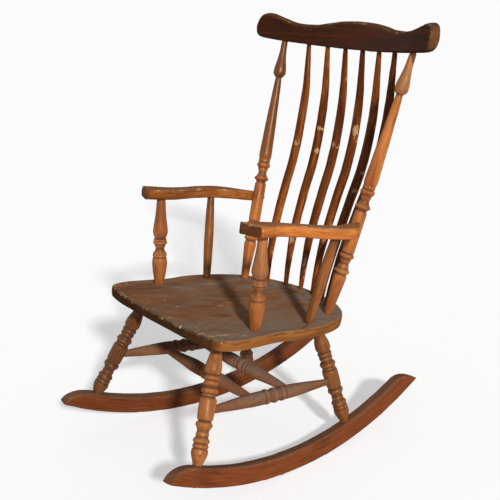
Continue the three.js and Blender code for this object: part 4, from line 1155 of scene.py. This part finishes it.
class ROCKINGCHAIR_OT_back_spindles(bpy.types.Operator):
    """Builds the row of flattened, bent back spindles"""
    bl_idname = "rocking_chair.back_spindles"
    bl_label = "Back spindles"

    def execute(self, context):
        """An oval whose width and depth follow the table is carried along a path that bends back, and
        outwards by more in the outer spindles."""
        spindle = context.scene.rocking_chair.spindle
        seat = context.scene.rocking_chair.seat
        backwards = sloping(seat.slope)[0]
        t = np.linspace(-SPINDLE_OVERRUN, 1 + SPINDLE_OVERRUN, SPINDLE_RINGS)
        inside = np.clip(t, 0, 1)
        bow = follow(SPINDLE_BOW, inside)
        size = follow(SPINDLE_SIZE, inside) * (spindle.width, spindle.depth)
        angle = np.linspace(0, 2 * math.pi, SPINDLE_AROUND, endpoint=False)
        for i in range(spindle.count):
            place = i - (spindle.count - 1) / 2
            x = place * spindle.foot_pitch
            sag = spindle.foot_arc - math.sqrt(spindle.foot_arc**2 - x**2)
            foot = on_seat(0, spindle.foot_share) - sag * backwards + (x, 0, 0)
            top = crest_under(place * spindle.top_pitch)
            outward = 2 * place * spindle.outward_bow / (spindle.count - 1)
            bent = stacked(bow[:, 1] * outward, bow[:, 0] * spindle.bow, 0.0)
            path = foot + t[:, None] * (top - foot) + bent
            way = unit(np.gradient(path, axis=0))
            across = unit(ACROSS - way * way[:, :1])
            through = np.cross(way, across)
            wide, deep = (
                size[:, column, None] / 2 * np.sign(wave) * np.abs(wave) ** OVAL_POWER
                for column, wave in enumerate((np.cos(angle), np.sin(angle))))
            rings = path[:, None] + wide[..., None] * across[:, None] + deep[..., None] * through[:, None]
            rings = rings + waves("back spindles", rings, i)[..., None] * unit(rings - path[:, None])
            local = stacked(wide, deep, (t * np.linalg.norm(top - foot))[:, None])
            # Their lower thirds are rubbed on the right, and painted with light there
            rubbed_and_lit = ease(*RUBBED_HEIGHT, t)[:, None] * ease(*RUBBED_SIDE, np.cos(angle))
            wear = NARROW_WEAR * np.abs(np.cos(angle)) ** 4 + RUBBED_WEAR * rubbed_and_lit
            on_face = ease(*SCUFFED_SIDE, np.cos(angle + math.pi / 4))
            for number, spot, reach in SPINDLE_SCUFFS:
                if number == i + 1:
                    wear = np.maximum(wear, SCUFF_WEAR * bell(t, spot, reach)[:, None] * on_face)
            # They darken to the right, and the last one, beside the right back post, is darkest with painted
            # shade
            tone = RUBBED_PAINTED_LIGHT * rubbed_and_lit - (LAST_PAINTED_SHADE if i == spindle.count - 1 else NEXT_DARKER * i)
            facts = {"grain": local, "wear": wear, "tone": tone}
            skin(f"Back_spindle_{i + 1}", rings, facts, "spindle_wood", f"back_spindle_{i + 1}")
        return {"FINISHED"}


def arm_frame():
    """The arm's own frame on the right side: its directions back along the underside and square up, the
    top of the arm post, the point where the back post's axis passes the middle of the arm, and that
    axis's direction."""
    chair = bpy.context.scene.rocking_chair
    arm = chair.arm
    backwards, upwards = sloping(arm.slope)
    foot = on_seat(arm.post_half_share, arm.post_depth_share)
    top = foot + (arm.post_lean_out, arm.post_lean_back, 0)
    top[2] = arm.height + chair.stage.datum[2]
    low, high = end_middles("back_post_right", 2)
    way = unit(high - low)
    level = top + upwards * arm.thickness / 2
    crossing = low + way * ((level - low) @ upwards) / (way @ upwards)
    return backwards, upwards, top, crossing, way


class ROCKINGCHAIR_OT_arms(bpy.types.Operator):
    """Builds the two flat, curved arms"""
    bl_idname = "rocking_chair.arms"
    bl_label = "Arms"

    def execute(self, context):
        """A softened rectangle whose middle and width follow the plan table is carried back along the
        arm's slope; points inside the back post are pushed out to its surface."""
        arm = context.scene.rocking_chair.arm
        backwards, upwards, top, crossing, post_way = arm_frame()
        whole = arm.nose_reach + (crossing - top) @ backwards + arm.tail_reach
        first, rest = (np.linspace(*ends, steps) for ends, steps in zip(((0, 1), (FIRST_PART, 1)), ARM_RINGS))
        t = np.concatenate([FIRST_PART * first**CLOSER_AT_TIP, rest[1:]])
        bow, wide = follow(ARM_PLAN, t).T
        tail_x = crossing[0] + arm.back_post_radius - arm.housing
        middle = top[0] + (tail_x - top[0]) * t + bow * arm.bow
        half = wide * arm.width / 2
        corners = box_corners(-half, half, np.zeros_like(half), np.full_like(half, arm.thickness))
        tight = np.minimum(arm.edge_round * ARM_SOFTNESS, half * ROUNDING_MOST)[:, None, None]
        section, bent = soften(corners, tight, *ARM_STEPS)
        across, lift = section[..., 0], section[..., 1]
        s = (t * whole - arm.nose_reach)[:, None]
        place = stacked(across, lift, s)
        lift = lift + waves("arm faces", place)
        across = across + waves("arm sides", place)
        sideways = middle[:, None] + across
        points = s[..., None] * backwards + lift[..., None] * upwards + sideways[..., None] * ACROSS
        points = points + top * (0, 1, 1)
        from_post = points - crossing
        radial = from_post - (from_post @ post_way)[..., None] * post_way
        distance = np.linalg.norm(radial, axis=-1, keepdims=True)
        points = points + radial / distance * np.maximum(arm.back_post_radius + POST_GAP - distance, 0)
        wear = bent * np.where(lift > arm.thickness / 2, ARM_UPPER_WEAR, ARM_LOWER_WEAR)
        outer_corner = bell(t, *NOSE_CORNER)[:, None] * ease(0, half.max(), across)
        wear = np.clip(wear + outer_corner, 0, 1)
        # The face of the nose is dark with handling and with painted shade
        facing = ease(*FACING_FRONT, -outward_normals(points)[..., 1]) * ease(*NOSE_SHARE, t)[:, None]
        handled_and_shaded = np.maximum(facing, ease(*TIP_SHARE, t)[:, None])
        for word, side in SIDES:
            plain, darker = ARM_TONES_AND_SHADE[word]
            facts = {"grain": place, "wear": wear, "tone": plain - darker * handled_and_shaded}
            skin(f"Arm_{word}", points * (side, 1, 1), facts, "arm_wood", f"arm_{word}")
        return {"FINISHED"}


class ROCKINGCHAIR_OT_arm_posts(bpy.types.Operator):
    """Turns the two posts under the front of the arms"""
    bl_idname = "rocking_chair.arm_posts"
    bl_label = "Arm posts"

    def execute(self, context):
        """Each post is its profile of radii, carried round the line between its ends."""
        turn_pieces("arm_post")
        return {"FINISHED"}


class ROCKINGCHAIR_OT_arm_spindles(bpy.types.Operator):
    """Turns the two plain spindles under the middle of the arms"""
    bl_idname = "rocking_chair.arm_spindles"
    bl_label = "Arm spindles"

    def execute(self, context):
        """Each spindle is its profile of radii, carried round the line between its ends."""
        turn_pieces("arm_spindle")
        return {"FINISHED"}


class ROCKINGCHAIR_OT_pins(bpy.types.Operator):
    """Turns the pins through the leg feet and the dowels behind the arms"""
    bl_idname = "rocking_chair.pins"
    bl_label = "Pins and dowels"

    def execute(self, context):
        """Each pin or dowel is one even radius, carried round the line between its ends."""
        turn_pieces("rocker_pin", "arm_dowel")
        return {"FINISHED"}


def seen_directly(shading):
    """One for camera, glossy and transmission rays, which show the background, and zero for the rays that
    light the object."""
    rays = shading.add("LightPath").outputs
    seen = shading.larger(rays["Is Camera Ray"], rays["Is Glossy Ray"])
    return shading.larger(seen, rays["Is Transmission Ray"])


def show(name, data):
    """A new object in the scene."""
    made = bpy.data.objects.new(name, data)
    bpy.context.scene.collection.objects.link(made)
    return made


def bearing(azimuth, elevation):
    """Unit vector towards an azimuth, counted from +X towards +Y, and an elevation."""
    flat = math.cos(elevation)
    return Vector((math.cos(azimuth) * flat, math.sin(azimuth) * flat, math.sin(elevation)))


class ROCKINGCHAIR_OT_stage(bpy.types.Operator):
    """Lays the floor and sets the light"""
    bl_idname = "rocking_chair.stage"
    bl_label = "Stage"

    def execute(self, context):
        """The floor is one square with a glow that only the background's rays see; the light is a sun and
        an even sky."""
        stage = context.scene.rocking_chair.stage
        half = stage.floor_size / 2
        mesh = bpy.data.meshes.new("Floor")
        corners = [(-half, -half, 0), (half, -half, 0), (half, half, 0), (-half, half, 0)]
        mesh.from_pydata(corners, [], [(0, 1, 2, 3)])
        material = bpy.data.materials.new("Pale_floor")
        material.use_nodes = True
        shading = Shading(material.node_tree)
        matte = shading.add("BsdfDiffuse", {"Color": (*stage.floor, 1)})
        glow = shading.add("Emission", {"Strength": shading.times(seen_directly(shading), stage.floor_glow)})
        both = shading.add("AddShader", {0: matte.outputs[0], 1: glow.outputs[0]})
        shading.add("OutputMaterial", {"Surface": both.outputs[0]})
        mesh.materials.append(material)
        show("Floor", mesh)

        lamp = bpy.data.lights.new("Key_light", "SUN")
        lamp.energy = stage.key
        lamp.angle = stage.key_softness
        key = show("Key_light", lamp)
        towards = bearing(stage.key_azimuth, stage.key_elevation)
        key.rotation_euler = towards.to_track_quat("Z", "Y").to_euler()
        key.location = towards * 3

        world = bpy.data.worlds.new("Soft_sky")
        context.scene.world = world
        world.use_nodes = True
        shading = Shading(world.node_tree)
        strength = shading.larger(seen_directly(shading), stage.sky)
        sky = shading.add("Background", {"Color": (1, 1, 1, 1), "Strength": strength})
        shading.add("OutputWorld", {"Surface": sky.outputs[0]})
        context.scene.view_settings.view_transform = "Standard"
        return {"FINISHED"}


class ROCKINGCHAIR_OT_camera(bpy.types.Operator):
    """Sets the camera at the photograph's view"""
    bl_idname = "rocking_chair.camera"
    bl_label = "Camera"

    def execute(self, context):
        """The camera stands back from the point it looks at, by its azimuth, elevation and distance, and
        is then rolled about its own line of sight."""
        view = context.scene.rocking_chair.camera
        data = bpy.data.cameras.new("Photograph_view")
        data.lens = view.lens
        data.sensor_width = 36
        camera = show("Photograph_view", data)
        back = bearing(view.azimuth - math.pi / 2, view.elevation)
        right = Vector((math.cos(view.azimuth), math.sin(view.azimuth), 0))
        turned = Matrix((right, back.cross(right), back)).transposed() @ Matrix.Rotation(view.roll, 3, "Z")
        camera.matrix_world = Matrix.Translation(Vector(view.aim) + back * view.distance) @ turned.to_4x4()
        context.scene.camera = camera
        return {"FINISHED"}


STEPS = (
    ROCKINGCHAIR_OT_seat, ROCKINGCHAIR_OT_rockers, ROCKINGCHAIR_OT_legs, ROCKINGCHAIR_OT_stretchers,
    ROCKINGCHAIR_OT_crest_rail, ROCKINGCHAIR_OT_back_posts, ROCKINGCHAIR_OT_back_spindles,
    ROCKINGCHAIR_OT_arms, ROCKINGCHAIR_OT_arm_posts, ROCKINGCHAIR_OT_arm_spindles,
    ROCKINGCHAIR_OT_pins, ROCKINGCHAIR_OT_stage, ROCKINGCHAIR_OT_camera,
)


class ROCKINGCHAIR_PT_steps(bpy.types.Panel):
    """Lists the steps that build the chair"""
    bl_idname = "ROCKINGCHAIR_PT_steps"
    bl_label = "Rocking chair"
    bl_space_type = "VIEW_3D"
    bl_region_type = "UI"
    bl_category = "Rocking chair"

    def draw(self, context):
        """A button for each step, and under them a box for each group of sizes."""
        column = self.layout.column(align=True)
        for step in STEPS:
            column.operator(step.bl_idname)
        sizes = context.scene.rocking_chair
        for group in (sizes.seat, sizes.rocker, sizes.turning, sizes.crest, sizes.spindle, sizes.arm,
                      sizes.finish, sizes.stage, sizes.camera):
            box = self.layout.box()
            for key in group.bl_rna.properties.keys():
                if key not in ("rna_type", "name"):
                    box.prop(group, key)


CLASSES = (
    SeatSizes, RockerSizes, TurningSizes, CrestSizes, SpindleSizes, ArmSizes, FinishColours,
    StageSettings, CameraSettings, RockingChair, *STEPS, ROCKINGCHAIR_PT_steps,
)


def register():
    """Registers the classes and gives the scene its sizes and colours."""
    for item in CLASSES:
        bpy.utils.register_class(item)
    bpy.types.Scene.rocking_chair = PointerProperty(
        type=RockingChair, name="Rocking chair", description="Sizes and colours of the rocking chair")


def unregister():
    """Takes both away again, the last one first."""
    del bpy.types.Scene.rocking_chair
    for item in reversed(CLASSES):
        bpy.utils.unregister_class(item)


def main():
    """Builds the chair, its stage and its camera."""
    register()
    for step in STEPS:
        group, name = step.bl_idname.split(".")
        getattr(getattr(bpy.ops, group), name)()


if __name__ == "__main__":
    main()
